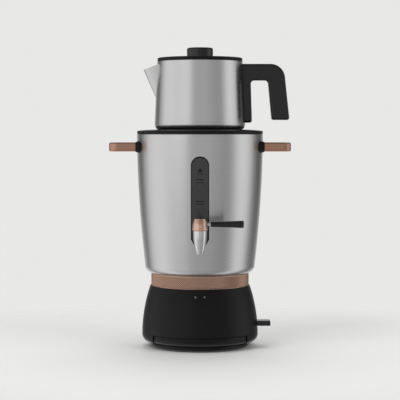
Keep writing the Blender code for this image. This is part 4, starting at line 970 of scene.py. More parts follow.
@dataclass(frozen=True)
class TeapotShape(TurnedShape):
    """The teapot's wall, a straight cone over a rounded foot."""

    low: float = 0.3409
    high: float = 0.4481
    radius: float = 0.0713
    change: float = 0.0041
    fillet: float = 0.009

    def radius_at(self, z: float) -> float:
        """Return the outer radius at a height."""
        return self.radius - self.change * self.share(z)


# Sub-assemblies


@dataclass
class Assembly:
    """A sub-assembly whose pieces ride on one body of the frame."""

    body: str = "base"

    def build(self) -> None:
        """Build and dress all of the sub-assembly's pieces."""
        raise NotImplementedError

    def hand_over(self, piece: Object, finish: Finish, *nodes: str) -> Object:
        """Dress a piece and hang it on the sub-assembly's body.

        Args:
            piece: the finished piece.
            finish: its finish.
            nodes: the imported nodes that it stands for.

        Returns:
            The same piece.
        """
        piece.data.name = piece.name
        piece.data.materials.clear()
        piece.data.materials.append(finish.material())
        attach(piece, self.body)
        if nodes:
            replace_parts(piece, *nodes)
        LOG.info("%s in %s: %d faces", piece.name, finish.name, len(piece.data.polygons))
        return piece


@dataclass
class Base(Assembly):
    """Black housing with its foot disc, feet, lamps, gland and screws."""

    shape: HousingShape = HousingShape()
    wall: float = 0.0026
    shoulder_round: float = 0.0009
    lip: float = 0.0031
    neck: float = 0.0715
    neck_wall: float = 0.003
    neck_top: float = 0.1163
    slot_half: float = 0.073
    slot_height: float = 0.0153
    slot_back: float = 0.045
    disc_radius: float = 0.078
    disc_low: float = 0.0012
    disc_top: float = 0.0078
    disc_round: float = 0.0035
    foot_circle: float = 0.06
    foot_radius: float = 0.007
    screw_circle: float = 0.0685
    screw_size: tuple = (0.003, 0.001, 0.0017)
    screw_angles: tuple = (22, 158, 202, 338)
    lamp_height: float = 0.0856
    lamp_spacing: float = 0.0069
    lamp_radius: float = 0.0015
    lamp_proud: float = 0.0004
    gland_height: float = 0.0236
    gland_radius: float = 0.0058
    gland_bore: float = 0.0036
    gland_ribs: tuple = (
        (0.0084, 0.0), (0.0084, 0.0008), (0.0079, 0.0014), (0.0079, 0.0019), (0.0074, 0.0025),
    )
    switch_axis: tuple = (0.0808, 0.0366)
    switch_half: float = 0.0128
    switch_below: float = 0.0072
    switch_above: float = 0.0048

    def build(self) -> None:
        """Build and dress the base's pieces."""
        self.hand_over(self.make_cowl(), BLACK, "base_housing")
        self.hand_over(self.make_disc(), BLACK, "bottom_cover")
        feet = [f"rubber_foot_{index}" for index in range(1, 5)]
        self.hand_over(self.make_feet(), RUBBER, *feet)
        self.hand_over(self.make_screws(), MILL_STEEL)
        for name, side in (("left", -1), ("right", 1)):
            self.hand_over(self.make_lens(name, side), LENS, f"indicator_lens_{name}")
        self.hand_over(self.make_gland(), RUBBER, "cord_gland")

    def make_cowl(self) -> Object:
        """Turn the housing and cut its slot, lamp, switch and lead openings."""
        top = self.shape.high - self.shoulder_round
        outer = self.shape.side(0, top)
        edge = outer[-1][0] - self.shoulder_round
        inner = self.shape.side(self.wall, self.shape.high - self.wall)
        low_lip = outer[0][0] - self.lip
        outline = [(low_lip, self.shape.low)] + outer
        outline += arc((edge, top), self.shoulder_round, 0, 90, 5)[1:]
        outline += [
            (self.neck, self.shape.high),
            (self.neck, self.neck_top),
            (self.neck - self.neck_wall, self.neck_top),
            (self.neck - self.neck_wall, self.shape.high - self.wall),
        ]
        outline += list(reversed(inner)) + [(low_lip, inner[0][1])]
        cowl = lathe("base_cowl", outline)
        reach = self.shape.radius + OVERRUN
        low = self.shape.low
        cutters = [
            box(
                "slot",
                (-self.slot_half, -reach, low - OVERRUN),
                (self.slot_half, -self.slot_back, low + self.slot_height),
            ),
            rod(
                "lead", self.gland_radius + GAP, self.neck / 2, reach, (0, 1, 0),
                (0, 0, self.gland_height),
            ),
            box(
                "switch",
                (self.switch_axis[0], -self.switch_half, self.switch_axis[1] - self.switch_below),
                (reach, self.switch_half, self.switch_axis[1] + self.switch_above),
            ),
        ]
        for side in (-1, 1):
            cutters.append(
                rod(
                    "lamp", self.lamp_radius + GAP / 2, self.neck / 2, reach, (0, -1, 0),
                    (side * self.lamp_spacing, 0, self.lamp_height),
                )
            )
        return carve(cowl, Cut.AWAY, *cutters)

    def make_disc(self) -> Object:
        """Turn the foot disc, with a shallow groove inside its edge."""
        knee = self.disc_radius - self.disc_round
        spigot = self.shape.side()[0][0] - self.lip - GAP
        groove = self.disc_radius - 0.012
        outline = [(0, self.disc_low), (groove - 0.0015, self.disc_low)]
        outline += [(groove - 0.001, self.disc_low + 0.0006), (groove, self.disc_low + 0.0006)]
        outline += [(groove + 0.0005, self.disc_low)]
        outline += arc((knee, self.disc_low + self.disc_round), self.disc_round, -90, 0)
        outline += [
            (self.disc_radius, self.disc_top - 0.0004),
            (self.disc_radius - 0.0004, self.disc_top),
            (spigot, self.disc_top),
            (spigot, self.disc_top + 0.0012),
            (spigot - 0.0025, self.disc_top + 0.0012),
            (spigot - 0.0025, self.disc_low + 0.0025),
            (0, self.disc_low + 0.0025),
        ]
        return lathe("foot_disc", outline)

    def make_feet(self) -> Object:
        """Repeat one ridged pad under the disc."""
        radius, top = self.foot_radius, self.disc_low + 0.0006
        outline = [(0, 0.0003), (0.3 * radius, 0.0003), (0.34 * radius, 0), (0.5 * radius, 0)]
        outline += [(0.54 * radius, 0.0003), (0.68 * radius, 0.0003), (0.72 * radius, 0)]
        outline += [(radius - 0.0006, 0), (radius, 0.0006), (radius, top), (0, top)]
        spots = [
            Matrix.Rotation(math.radians(45 + 90 * step), 3, "Z") @ Vector((self.foot_circle, 0, 0))
            for step in range(4)
        ]
        return repeat("rubber_pads", lathe("pad", outline, SMALL), spots, RUBBER)

    def make_screws(self) -> Object:
        """Repeat a cross-recess screw head under the disc."""
        spots = [
            Matrix.Rotation(math.radians(angle), 3, "Z") @ Vector((self.screw_circle, 0, self.disc_low))
            for angle in self.screw_angles
        ]
        return repeat("disc_screws", screw_head(*self.screw_size), spots, MILL_STEEL, (math.pi, 0, 0))

    def make_lens(self, name: str, side: int) -> Object:
        """Turn one domed light pipe.

        Args:
            name: which of the two it is.
            side: -1 for the left one and 1 for the right one.

        Returns:
            The new object.
        """
        face = self.shape.radius_at(self.lamp_height)
        outline = [(0, face - 0.005), (self.lamp_radius, face - 0.005), (self.lamp_radius, face - 0.0002)]
        shoulder = (0.6 * self.lamp_radius, face + 0.7 * self.lamp_proud)
        outline += flowing([(self.lamp_radius, face), shoulder, (0, face + self.lamp_proud)], 5)[1:]
        spot = (side * self.lamp_spacing, 0, self.lamp_height)
        return lathe(f"lamp_lens_{name}", outline, SMALL, along((0, -1, 0), spot))

    def make_gland(self) -> Object:
        """Turn the ribbed bush that the supply lead passes through."""
        face = self.shape.radius + GAP
        tip = face + 0.0032
        outline = [
            (self.gland_bore, face - 0.009),
            (self.gland_radius, face - 0.009),
            (self.gland_radius, face),
            *[(radius, face + rise) for radius, rise in self.gland_ribs],
            (0.0072, tip - 0.0003),
            (0.0069, tip),
            (self.gland_bore + 0.0005, tip),
            (self.gland_bore, tip - 0.0005),
        ]
        return lathe("lead_bush", outline, MEDIUM, along((0, 1, 0), (0, 0, self.gland_height)))


@dataclass
class DripTray(Assembly):
    """Pull-out tray whose front follows the housing's curve."""

    body: str = "drip_tray"
    shape: HousingShape = HousingShape()
    inset: float = 0.0015
    panel: float = 0.0022
    slot_half: float = 0.073
    side_gap: float = 0.0016
    top: float = 0.0224
    slot_back: float = 0.045
    half: float = 0.056
    back: float = 0.0123
    wall: float = 0.0016
    depth: float = 0.0095

    def build(self) -> None:
        """Build and dress the tray."""
        self.hand_over(self.make_tray(), BLACK, "drip_tray")

    def make_tray(self) -> Object:
        """Join the dish to its curved front panel."""
        low = self.shape.low + self.inset
        reach = -self.shape.radius
        dish = box("slide_tray", (-self.half, reach, low), (self.half, -self.back, low + self.depth))
        carve(dish, Cut.KEEP, self.shape.solid(self.inset + self.panel / 2))
        inner = self.half - self.wall
        hollow = box(
            "hollow",
            (-inner, reach, low + self.wall),
            (inner, -self.back - self.wall, low + self.depth + OVERRUN),
        )
        carve(dish, Cut.AWAY, hollow)
        front = carve(self.shape.solid(self.inset), Cut.AWAY, self.shape.solid(self.inset + self.panel))
        half = self.slot_half - self.side_gap
        carve(front, Cut.KEEP, box("front", (-half, reach, low), (half, -self.slot_back, self.top)))
        return carve(dish, Cut.JOIN, front)


@dataclass
class PaddleSwitch(Assembly):
    """Rocking on and off paddle on the base's right side."""

    body: str = "switch"
    axis_x: float = 0.0808
    axis_z: float = 0.0366
    tip: float = 0.1111
    half: float = 0.004
    width: float = 0.024
    edge: float = 0.0009

    def build(self) -> None:
        """Build and dress the paddle."""
        self.hand_over(self.make_paddle(), GLOSS, "switch_paddle")

    def make_paddle(self) -> Object:
        """Round the paddle's section and its two long ends."""
        corners = [
            (self.axis_x - self.half, self.axis_z - self.half, self.half * 0.98),
            (self.tip, self.axis_z - self.half, 0.0014),
            (self.tip, self.axis_z + self.half, 0.0014),
            (self.axis_x - self.half, self.axis_z + self.half, self.half * 0.98),
        ]
        return softened("rocker_paddle", rounded(corners), self.width / 2, self.edge)


def softened(name: str, outline: Outline, half: float, edge: float, steps: int = 6) -> Object:
    """Make a prism along Y whose two rims are rounded.

    Args:
        name: the piece's name.
        outline: its outline in X and Z.
        half: half its width.
        edge: how far the rims are rounded.
        steps: chords on each rounded rim.

    Returns:
        The new object.
    """
    points = [Vector(point) for point in outline]
    lanes = []
    for index, point in enumerate(points):
        before = (point - points[index - 1]).normalized()
        after = (points[(index + 1) % len(points)] - point).normalized()
        inward = Vector((-before.y - after.y, before.x + after.x))
        lanes.append(2 * inward / inward.length_squared)
    bends = arc((0, 0), edge, 0, 90, steps)
    layers = [(edge - run, half - edge + rise) for run, rise in bends]
    layers = [(inset, -depth) for inset, depth in reversed(layers)] + layers
    bm = bmesh.new()
    rings = []
    for inset, y in layers:
        moved = [point + lane * inset for point, lane in zip(points, lanes)]
        rings.append([bm.verts.new((spot.x, y, spot.y)) for spot in moved])
    skin(bm, rings)
    return new_piece(bm, name)


@dataclass
class TrimRing(Assembly):
    """Copper-coloured band with a diamond knurl between base and tank."""

    low: float = 0.0969
    high: float = 0.1163
    inner: float = 0.0718
    radius: float = 0.077
    depth: float = 0.0006
    band: float = 0.0014
    # A real knurl is 1 to 1.5 mm from ridge to ridge, too fine to show in the render, so its
    # diamonds are drawn 3.6 mm wide
    count: int = 134
    rows: int = 9

    def build(self) -> None:
        """Build and dress the ring."""
        self.hand_over(self.make_ring(), KNURL, "knurled_ring")

    def make_ring(self) -> Object:
        """Turn the plain band, then press the knurl into it with a geometry tree."""
        pitch = (self.high - self.low - 2 * self.band) / self.rows
        outline = [(self.inner, self.low), (self.radius - self.depth, self.low)]
        for row in range(self.rows + 1):
            outline.append((self.radius - self.depth, self.low + self.band + pitch * row))
        outline += [(self.radius - self.depth, self.high), (self.inner, self.high)]
        ring = lathe("knurl_band", outline, 2 * self.count)
        tree, given = node_group(
            "diamond knurl",
            {
                "Around": "NodeSocketFloat",
                "Start": "NodeSocketFloat",
                "Pitch": "NodeSocketFloat",
                "Rows": "NodeSocketFloat",
                "Depth": "NodeSocketFloat",
                "Inside": "NodeSocketFloat",
            },
        )
        spot = add_node(tree, "GeometryNodeInputPosition")
        place = add_node(tree, "ShaderNodeSeparateXYZ", {"Vector": spot.outputs[0]})
        turn = add_node(
            tree, "ShaderNodeMath", {0: place.outputs["Y"], 1: place.outputs["X"]}, operation="ARCTAN2"
        )
        column = self.whole(tree, turn.outputs[0], given.outputs["Around"], "MULTIPLY")
        lift = add_node(
            tree, "ShaderNodeMath", {0: place.outputs["Z"], 1: given.outputs["Start"]}, operation="SUBTRACT"
        )
        row = self.whole(tree, lift.outputs[0], given.outputs["Pitch"], "DIVIDE")
        total = add_node(tree, "ShaderNodeMath", {0: column, 1: row}, operation="ADD")
        odd = add_node(
            tree, "ShaderNodeMath", {0: total.outputs[0], 1: 2.0}, operation="FLOORED_MODULO"
        )
        above = add_node(tree, "ShaderNodeMath", {0: row, 1: -0.5}, operation="GREATER_THAN")
        limit = add_node(
            tree, "ShaderNodeMath", {0: given.outputs["Rows"], 1: 0.5}, operation="ADD"
        )
        below = add_node(tree, "ShaderNodeMath", {0: row, 1: limit.outputs[0]}, operation="LESS_THAN")
        flat = add_node(
            tree, "ShaderNodeCombineXYZ", {"X": place.outputs["X"], "Y": place.outputs["Y"]}
        )
        reach = add_node(tree, "ShaderNodeVectorMath", {0: flat.outputs[0]}, operation="LENGTH")
        outside = add_node(
            tree, "ShaderNodeMath", {0: reach.outputs["Value"], 1: given.outputs["Inside"]},
            operation="GREATER_THAN",
        )
        even = add_node(tree, "ShaderNodeMath", {0: 1.0, 1: odd.outputs[0]}, operation="SUBTRACT")
        lifted, valley = given.outputs["Depth"], even.outputs[0]
        for mask in (above, below, outside):
            valley = add_node(
                tree, "ShaderNodeMath", {0: valley, 1: mask.outputs[0]}, operation="MULTIPLY"
            ).outputs[0]
        for mask in (odd, above, below, outside):
            lifted = add_node(
                tree, "ShaderNodeMath", {0: lifted, 1: mask.outputs[0]}, operation="MULTIPLY"
            ).outputs[0]
        outward = add_node(tree, "ShaderNodeVectorMath", {0: flat.outputs[0]}, operation="NORMALIZE")
        offset = add_node(
            tree, "ShaderNodeVectorMath", {0: outward.outputs[0], "Scale": lifted}, operation="SCALE"
        )
        moved = add_node(
            tree,
            "GeometryNodeSetPosition",
            {"Geometry": given.outputs["Geometry"], "Offset": offset.outputs[0]},
        )
        # Store which points lie in the knurl's grooves, where the finish paints shade
        marked = add_node(
            tree,
            "GeometryNodeStoreNamedAttribute",
            {"Geometry": moved.outputs["Geometry"], "Name": VALLEY, "Value": valley},
            data_type="FLOAT",
            domain="POINT",
        )
        split = add_node(
            tree,
            "GeometryNodeTriangulate",
            {"Mesh": marked.outputs["Geometry"]},
            quad_method="SHORTEST_DIAGONAL",
        )
        close_group(tree, split.outputs["Mesh"], KNURL)
        run_group(
            ring,
            tree,
            {
                "Around": self.count / math.pi,
                "Start": self.low + self.band,
                "Pitch": pitch,
                "Rows": float(self.rows),
                "Depth": self.depth,
                "Inside": (self.inner + self.radius) / 2,
            },
        )
        ring.data.shade_flat()
        return ring

    def whole(self, tree: Tree, value: Socket, size: Socket, operation: str) -> Socket:
        """Number the steps of a value.

        Args:
            tree: the geometry tree.
            value: the value that is counted.
            size: the step, or how many steps go into one unit.
            operation: DIVIDE for a step and MULTIPLY for a count.

        Returns:
            The number of the nearest step.
        """
        share = add_node(tree, "ShaderNodeMath", {0: value, 1: size}, operation=operation)
        return add_node(tree, "ShaderNodeMath", {0: share.outputs[0]}, operation="ROUND").outputs[0]


@dataclass
class Gauge(Assembly):
    """Smoked pane flush in the tank's wall, with its printed marks."""

    shape: TankShape = TankShape()
    width: float = 0.0278
    top_drop: float = 0.0335
    length: float = 0.1445
    taper: float = 0.018
    foot_radius: float = 0.0065
    foot_angle: float = 20
    pane: float = 0.0027
    lip: float = 0.0013
    # The pane's top sits this much lower, so that the dark lip is widest there as painted shade under the
    # slot's edge
    lip_top: float = 0.0011
    lip_depth: float = 0.0004
    tap_height: float = 0.1796
    shank: float = 0.0061
    mark_proud: float = 0.00008
    bars: tuple = (
        (0.0268, 0.0040, 0.0005),
        (0.0352, 0.0060, 0.0008),
        (0.0392, 0.0060, 0.0005),
        (0.0682, 0.0060, 0.0008),
        (0.0722, 0.0060, 0.0005),
    )
    sign: tuple = (0.0029, 0.0031)
    sign_drop: float = 0.0212

    def build(self) -> None:
        """Build and dress the pane and its marks."""
        self.hand_over(self.make_pane(), SMOKED, "gauge_window")
        self.hand_over(self.make_lip(), RUBBER)
        self.hand_over(self.make_marks(), INK)

    def outline(self, grow: float, drop: float = 0.0) -> Outline:
        """List the window's outline in X and Z.

        Args:
            grow: how far it is moved outwards.
            drop: how much lower its round top is.

        Returns:
            The points.
        """
        half = self.width / 2
        rim = self.shape.high - self.top_drop - drop
        foot = self.shape.high - self.top_drop - self.length
        points = arc((0, rim - half), half + grow, 0, 180, 40)
        points.append((-half - grow, foot + self.taper))
        points += arc(
            (0, foot + self.foot_radius), self.foot_radius + grow, 180 + self.foot_angle,
            360 - self.foot_angle, 16,
        )
        points.append((half + grow, foot + self.taper))
        return points

    def make_pane(self) -> Object:
        """Cut the pane out of the tank's own curve."""
        reach = -self.shape.radius - OVERRUN
        pane = prism("gauge_pane", self.outline(-self.lip, self.lip_top), reach, -0.06, "Y")
        carve(pane, Cut.KEEP, self.shape.solid())
        hole = rod("hole", self.shank, 0.05, 0.12, (0, -1, 0), (0, 0, self.tap_height))
        return carve(pane, Cut.AWAY, self.shape.solid(self.pane), hole)

    def make_lip(self) -> Object:
        """Cut the dark lip of the seal round the pane, widest at its top, a dark piece that is partly the
        real seal and partly painted shade under the slot's edge.
        """
        reach = -self.shape.radius - OVERRUN
        lip = prism("pane_lip", self.outline(-GAP / 2), reach, -0.06, "Y")
        carve(lip, Cut.KEEP, self.shape.solid(self.lip_depth))
        inner = prism("inner", self.outline(-self.lip, self.lip_top), reach, -0.05, "Y")
        return carve(lip, Cut.AWAY, self.shape.solid(self.pane), inner)

    def make_marks(self) -> Object:
        """Print a drop sign above one short level bar and two pairs of wider ones."""
        bm = bmesh.new()
        rim = self.shape.high - self.top_drop
        for drop, half, thick in self.bars:
            self.bar(bm, rim - drop, half, thick)
        turns = [math.tau * step / 24 for step in range(24)]
        sign = [(math.sin(t) * (1 - 0.55 * math.cos(t)), math.cos(t)) for t in turns]
        width, height = self.sign
        self.plate(bm, [(width * x, rim - self.sign_drop + height * z) for x, z in sign])
        return new_piece(bm, "gauge_marks")

    def bar(self, bm: bmesh.types.BMesh, z: float, half: float, thick: float) -> None:
        """Add one level bar.

        Args:
            bm: the mesh being built.
            z: its height.
            half: half its width.
            thick: half its thickness.
        """
        steps = 12
        low = [(-half + 2 * half * step / steps, z - thick) for step in range(steps + 1)]
        high = [(x, z + thick) for x, _ in reversed(low)]
        self.plate(bm, low + high)

    def plate(self, bm: bmesh.types.BMesh, outline: Outline) -> None:
        """Lay a thin closed plate of ink on the pane.

        Args:
            bm: the mesh being built.
            outline: its outline in X and Z.
        """
        rings = []
        for proud in (-self.mark_proud, self.mark_proud):
            ring = []
            for x, z in outline:
                y = -math.sqrt((self.shape.radius_at(z)) ** 2 - x**2) - proud
                ring.append(bm.verts.new((x, y, z)))
            rings.append(ring)
        skin(bm, rings)


@dataclass
class Tank(Assembly):
    """Brushed steel tank with the black collar on its rim."""

    shape: TankShape = TankShape()
    gauge: Gauge = field(default_factory=Gauge)
    wall: float = 0.0012
    hole: float = 0.058
    collar_low: float = 0.3349
    collar_edge: float = 0.3399
    collar_top: float = 0.3419
    seat: float = 0.06796
    seat_depth: float = 0.0013
    opening: float = 0.05
    skirt: float = 0.008
    skirt_wall: float = 0.0022

    def build(self) -> None:
        """Build and dress the tank's shell and its collar."""
        self.hand_over(self.make_shell(), STEEL, "tank_shell")
        self.hand_over(self.make_collar(), BLACK, "tank_collar")

    def make_shell(self) -> Object:
        """Turn the sheet wall with a rolled rim, and cut the window's slot."""
        outer = self.shape.side(0, self.shape.high - 0.0005)
        inner = self.shape.side(self.wall, self.shape.high - 0.0005)
        middle = self.shape.radius - self.wall / 2
        outline = [(self.hole, self.shape.low)] + outer
        outline += arc((middle, self.shape.high - 0.0006), self.wall / 2, 0, 180, 6)[1:-1]
        outline += list(reversed(inner)) + [(self.hole, self.shape.low + self.wall)]
        shell = lathe("tank_wall", outline)
        reach = -self.shape.radius - OVERRUN
        slot = prism("slot", self.gauge.outline(0), reach, -0.05, "Y")
        return carve(shell, Cut.AWAY, slot)

    def make_collar(self) -> Object:
        """Turn the collar with its rounded edge, the teapot's seat and the steam opening."""
        inside = self.shape.radius - self.wall - 2 * GAP
        outside = self.shape.radius - GAP
        seat = self.collar_top - self.seat_depth
        low = self.collar_low - self.skirt
        crown = (self.seat + outside) / 2
        outline = [(inside - self.skirt_wall, low), (inside, low), (inside, self.collar_low)]
        outline += [(outside - 0.0003, self.collar_low), (outside, self.collar_low + 0.0003)]
        outline += arc((outside - 0.0016, self.collar_edge - 0.0016), 0.0016, 0, 80, 8)
        outline += flowing(
            [
                (outside - 0.003, self.collar_edge + 0.0002),
                (crown, self.collar_top - 0.0006),
                (self.seat + 0.0008, self.collar_top - 0.0001),
            ],
            8,
        )
        outline += [
            (self.seat, self.collar_top - 0.0006),
            (self.seat, seat),
            (self.opening + 0.001, seat),
            (self.opening, seat - 0.001),
            (self.opening, seat - 0.0026),
            (inside - self.skirt_wall, seat - 0.0039),
        ]
        return lathe("rim_collar", outline)


@dataclass
class SideHandles(Assembly):
    """Two copper-coloured loops, each with two flared bushes."""

    shape: TankShape = TankShape()
    drop: float = 0.02
    reach: float = 0.142
    spacing: float = 0.028
    height: float = 0.014
    width: float = 0.011
    corner: float = 0.0025
    bend: float = 0.008
    bush: float = 0.0095
    bush_tip: float = 0.008
    standoff: float = 0.0012

    def build(self) -> None:
        """Build and dress both loops and their bushes."""
        for name, side in (("left", -1), ("right", 1)):
            self.hand_over(self.make_loop(name, side), COPPER_BAR, f"side_handle_{name}")
            for place, y in (("front", -self.spacing), ("rear", self.spacing)):
                bush = self.make_bush(f"flared_bush_{name}_{place}", side, y)
                self.hand_over(bush, BLACK, f"handle_bush_{name}_{place}")

    def level(self) -> float:
        """Return the height of the handles' middle."""
        return self.shape.high - self.drop

    def make_loop(self, name: str, side: int) -> Object:
        """Carry the bar's rounded section round the loop.

        Args:
            name: which of the two it is.
            side: -1 for the left one and 1 for the right one.

        Returns:
            The new object.
        """
        z = self.level()
        start = self.shape.radius_at(z) + self.standoff + GAP
        end = self.reach - self.width / 2
        path = [(start, -self.spacing), (end - self.bend - 0.002, -self.spacing)]
        path += arc((end - self.bend, self.bend - self.spacing), self.bend, -90, 0, 12)
        path += arc((end - self.bend, self.spacing - self.bend), self.bend, 0, 90, 12)
        path += [(end - self.bend - 0.002, self.spacing), (start, self.spacing)]
        half_w, half_h = self.width / 2, self.height / 2
        section = rounded(
            [
                (-half_w, -half_h, self.corner),
                (half_w, -half_h, self.corner),
                (half_w, half_h, self.corner),
                (-half_w, half_h, self.corner),
            ]
        )
        bm = bmesh.new()
        rings = []
        for index, point in enumerate(path):
            before = Vector(path[max(index - 1, 0)])
            after = Vector(path[min(index + 1, len(path) - 1)])
            run = (after - before).normalized()
            across = Vector((run.y, -run.x))
            rings.append(
                [
                    bm.verts.new((side * (point[0] + across.x * s), point[1] + across.y * s, z + up))
                    for s, up in section
                ]
            )
        skin(bm, rings)
        return new_piece(bm, f"loop_handle_{name}")

    def make_bush(self, name: str, side: int, y: float) -> Object:
        """Turn one flared bush and trim it to the tank's curve.

        Args:
            name: the piece's name.
            side: -1 for the left handle and 1 for the right one.
            y: where the bush is along Y.

        Returns:
            The new object.
        """
        z = self.level()
        face = self.shape.radius_at(z) + self.standoff
        wall = math.sqrt(self.shape.radius_at(z) ** 2 - y**2)
        outline = [(0, wall - 0.012), (self.bush, wall - 0.012)]
        waist = (self.bush - 0.0009, (wall + face) / 2)
        outline += flowing([(self.bush, wall), waist, (self.bush_tip, face - 0.0005)])
        outline += [(self.bush_tip - 0.0005, face), (0, face)]
        bush = lathe(name, outline, MEDIUM, along((side, 0, 0), (0, y, z)))
        return carve(bush, Cut.AWAY, self.shape.solid(-GAP))


@dataclass
class TapBody(Assembly):
    """Chromed bullet-shaped tap body with its flange, washer and outlet ring."""

    shape: TankShape = TankShape()
    height: float = 0.1796
    standoff: float = 0.0265
    radius: float = 0.0102
    mouth: float = 0.0058
    head: float = 0.0107
    tail: float = 0.0221
    curve: tuple = ((0.18, 0.74), (0.4, 0.88), (0.65, 0.97), (1.0, 1.0))
    bore: float = 0.0064
    bore_depth: float = 0.0072
    way: float = 0.0042
    washer: float = 0.0022
    shank: float = 0.0058
    flange: float = 0.01
    nozzle: float = 0.0063
    nozzle_height: float = 0.0024

    def build(self) -> None:
        """Build and dress the body, its washer and the outlet ring."""
        self.hand_over(self.make_body(), CHROME, "tap_body")
        self.hand_over(self.make_washer(), RUBBER, "tap_gasket")
        self.hand_over(self.make_outlet(), CHROME, "spout_nozzle")

    def axis_y(self) -> float:
        """Return where the tap's vertical axis is along Y."""
        return -(self.shape.radius_at(self.height) + self.standoff)

    def make_body(self) -> Object:
        """Join the turned bullet to its inlet shank and flange."""
        top, tail = self.height + self.head, self.height - self.tail
        points = [(self.mouth, tail)]
        points += [(self.radius * wide, tail + (top - tail) * up) for up, wide in self.curve]
        side = flowing(points)
        floor = self.height - self.bore_depth
        outline = [(self.way, tail)] + side[:-1]
        outline += [(self.radius, top - 0.0004), (self.radius - 0.0004, top), (self.bore, top)]
        outline += [(self.bore, floor), (self.way, floor)]
        body = lathe("tap_bullet", outline, MEDIUM, Matrix.Translation((0, self.axis_y(), 0)))
        back = -(self.shape.radius_at(self.height) + self.washer)
        shank = [
            (0, self.axis_y() + 0.0085),
            (self.shank, self.axis_y() + 0.0085),
            (self.shank, back - 0.0027),
            (self.flange - 0.0006, back - 0.0025),
            (self.flange, back - 0.0019),
            (self.flange, back),
            (self.shank, back),
            (self.shank, back + 0.03),
            (0, back + 0.03),
        ]
        tube = lathe("shank", shank, MEDIUM, along((0, 1, 0), (0, 0, self.height)))
        return carve(body, Cut.JOIN, tube)

    def make_washer(self) -> Object:
        """Cut the washer behind the flange to the tank's curve."""
        back = self.shape.radius_at(self.height) + self.washer - GAP
        washer = rod("tap_washer", self.flange, 0.06, back, (0, -1, 0), (0, 0, self.height), MEDIUM)
        hole = rod("hole", self.shank + GAP, 0.05, 0.12, (0, -1, 0), (0, 0, self.height), MEDIUM)
        return carve(washer, Cut.AWAY, self.shape.solid(-GAP), hole)

    def make_outlet(self) -> Object:
        """Turn the rolled ring at the tap's mouth."""
        top = self.height - self.tail - GAP
        low = top - self.nozzle_height
        outline = [(0.0029, low + 0.0004), (0.0033, low)]
        outline += arc((self.nozzle - 0.0008, low + 0.0008), 0.0008, -90, 0, 5)
        outline += arc((self.nozzle - 0.0008, top - 0.0008), 0.0008, 0, 90, 5)
        outline += [(0.0039, top), (0.0039, top + 0.003), (0.0029, top + 0.003)]
        return lathe("outlet_ring", outline, MEDIUM, Matrix.Translation((0, self.axis_y(), 0)))


@dataclass
class TapHandle(Assembly):
    """What turns in the tap and shows: the cap, the rod and the lever's grip."""

    body: str = "tap_handle"
    axis_y: float = -0.118137
    height: float = 0.1796
    head: float = 0.0107
    cap_height: float = 0.0175
    cap_radius: float = 0.0114
    cap_top: float = 0.0084
    lever_rise: float = 0.02
    lever_start: float = 0.016
    lever_length: float = 0.05
    lever_radius: float = 0.0038
    lever_end: float = 0.0055
    rod_radius: float = 0.0021

    def build(self) -> None:
        """Build and dress the cap, the rod and the grip."""
        self.hand_over(self.make_cap(), COPPER, "tap_cap")
        self.hand_over(self.make_rod(), CHROME, "lever_rod")
        self.hand_over(self.make_grip(), GLOSS, "tap_lever")

    def make_cap(self) -> Object:
        """Turn the tapered cap with its rounded top edge."""
        low = self.height + self.head + GAP
        top = low + self.cap_height
        side = flowing(
            [
                (self.cap_radius, low + 0.0005),
                ((self.cap_radius + self.cap_top) / 2 + 0.0008, low + self.cap_height / 2),
                (self.cap_top, top - 0.001),
            ],
            10,
        )
        outline = [(0.0043, low), (self.cap_radius - 0.0005, low)] + side
        outline += arc((self.cap_top - 0.001, top - 0.001), 0.001, 0, 90, 6)
        outline += [(self.cap_top - 0.0022, top), (self.cap_top - 0.0028, top - 0.0003), (0, top - 0.0003)]
        outline += [(0, top - 0.003), (0.0043, top - 0.003)]
        cap = lathe("copper_cap", outline, MEDIUM, Matrix.Translation((0, self.axis_y, 0)))
        hole = rod(
            "hole", self.rod_radius + GAP / 2, 0, 0.02, (1, 0, 0), (0, self.axis_y, self.lever_level())
        )
        return carve(cap, Cut.AWAY, hole)

    def lever_level(self) -> float:
        """Return the height of the lever's axis."""
        return self.height + self.lever_rise

    def make_rod(self) -> Object:
        """Turn the rod with a small shoulder where it leaves the cap."""
        outline = [(0, 0.0003), (self.rod_radius, 0.0003), (self.rod_radius, 0.0112), (0.0026, 0.0116)]
        outline += [(0.0026, 0.0136), (self.rod_radius, 0.014), (self.rod_radius, 0.0247), (0, 0.0247)]
        return lathe("lever_pin", outline, SMALL, along((1, 0, 0), (0, self.axis_y, self.lever_level())))

    def make_grip(self) -> Object:
        """Turn the flared grip with a fine groove before its domed end."""
        start, end = self.lever_start, self.lever_start + self.lever_length
        outline = [(0, start + 0.009), (self.rod_radius + 0.0002, start + 0.009)]
        outline += [(self.rod_radius + 0.0002, start), (self.lever_radius - 0.0004, start)]
        outline += flowing(
            [
                (self.lever_radius, start + 0.0004),
                ((self.lever_radius + self.lever_end) / 2 - 0.0001, (start + end) / 2),
                (self.lever_end, end - 0.0052),
            ],
            10,
        )
        outline += [(self.lever_end - 0.0003, end - 0.005), (self.lever_end - 0.0003, end - 0.0046)]
        outline += [(self.lever_end, end - 0.0044), (self.lever_end, end - 0.0016)]
        dome = [(self.lever_end, end - 0.0016), (0.8 * self.lever_end, end - 0.0005), (0, end)]
        outline += flowing(dome, 6)[1:]
        return lathe("lever_grip", outline, SMALL, along((1, 0, 0), (0, self.axis_y, self.lever_level())))


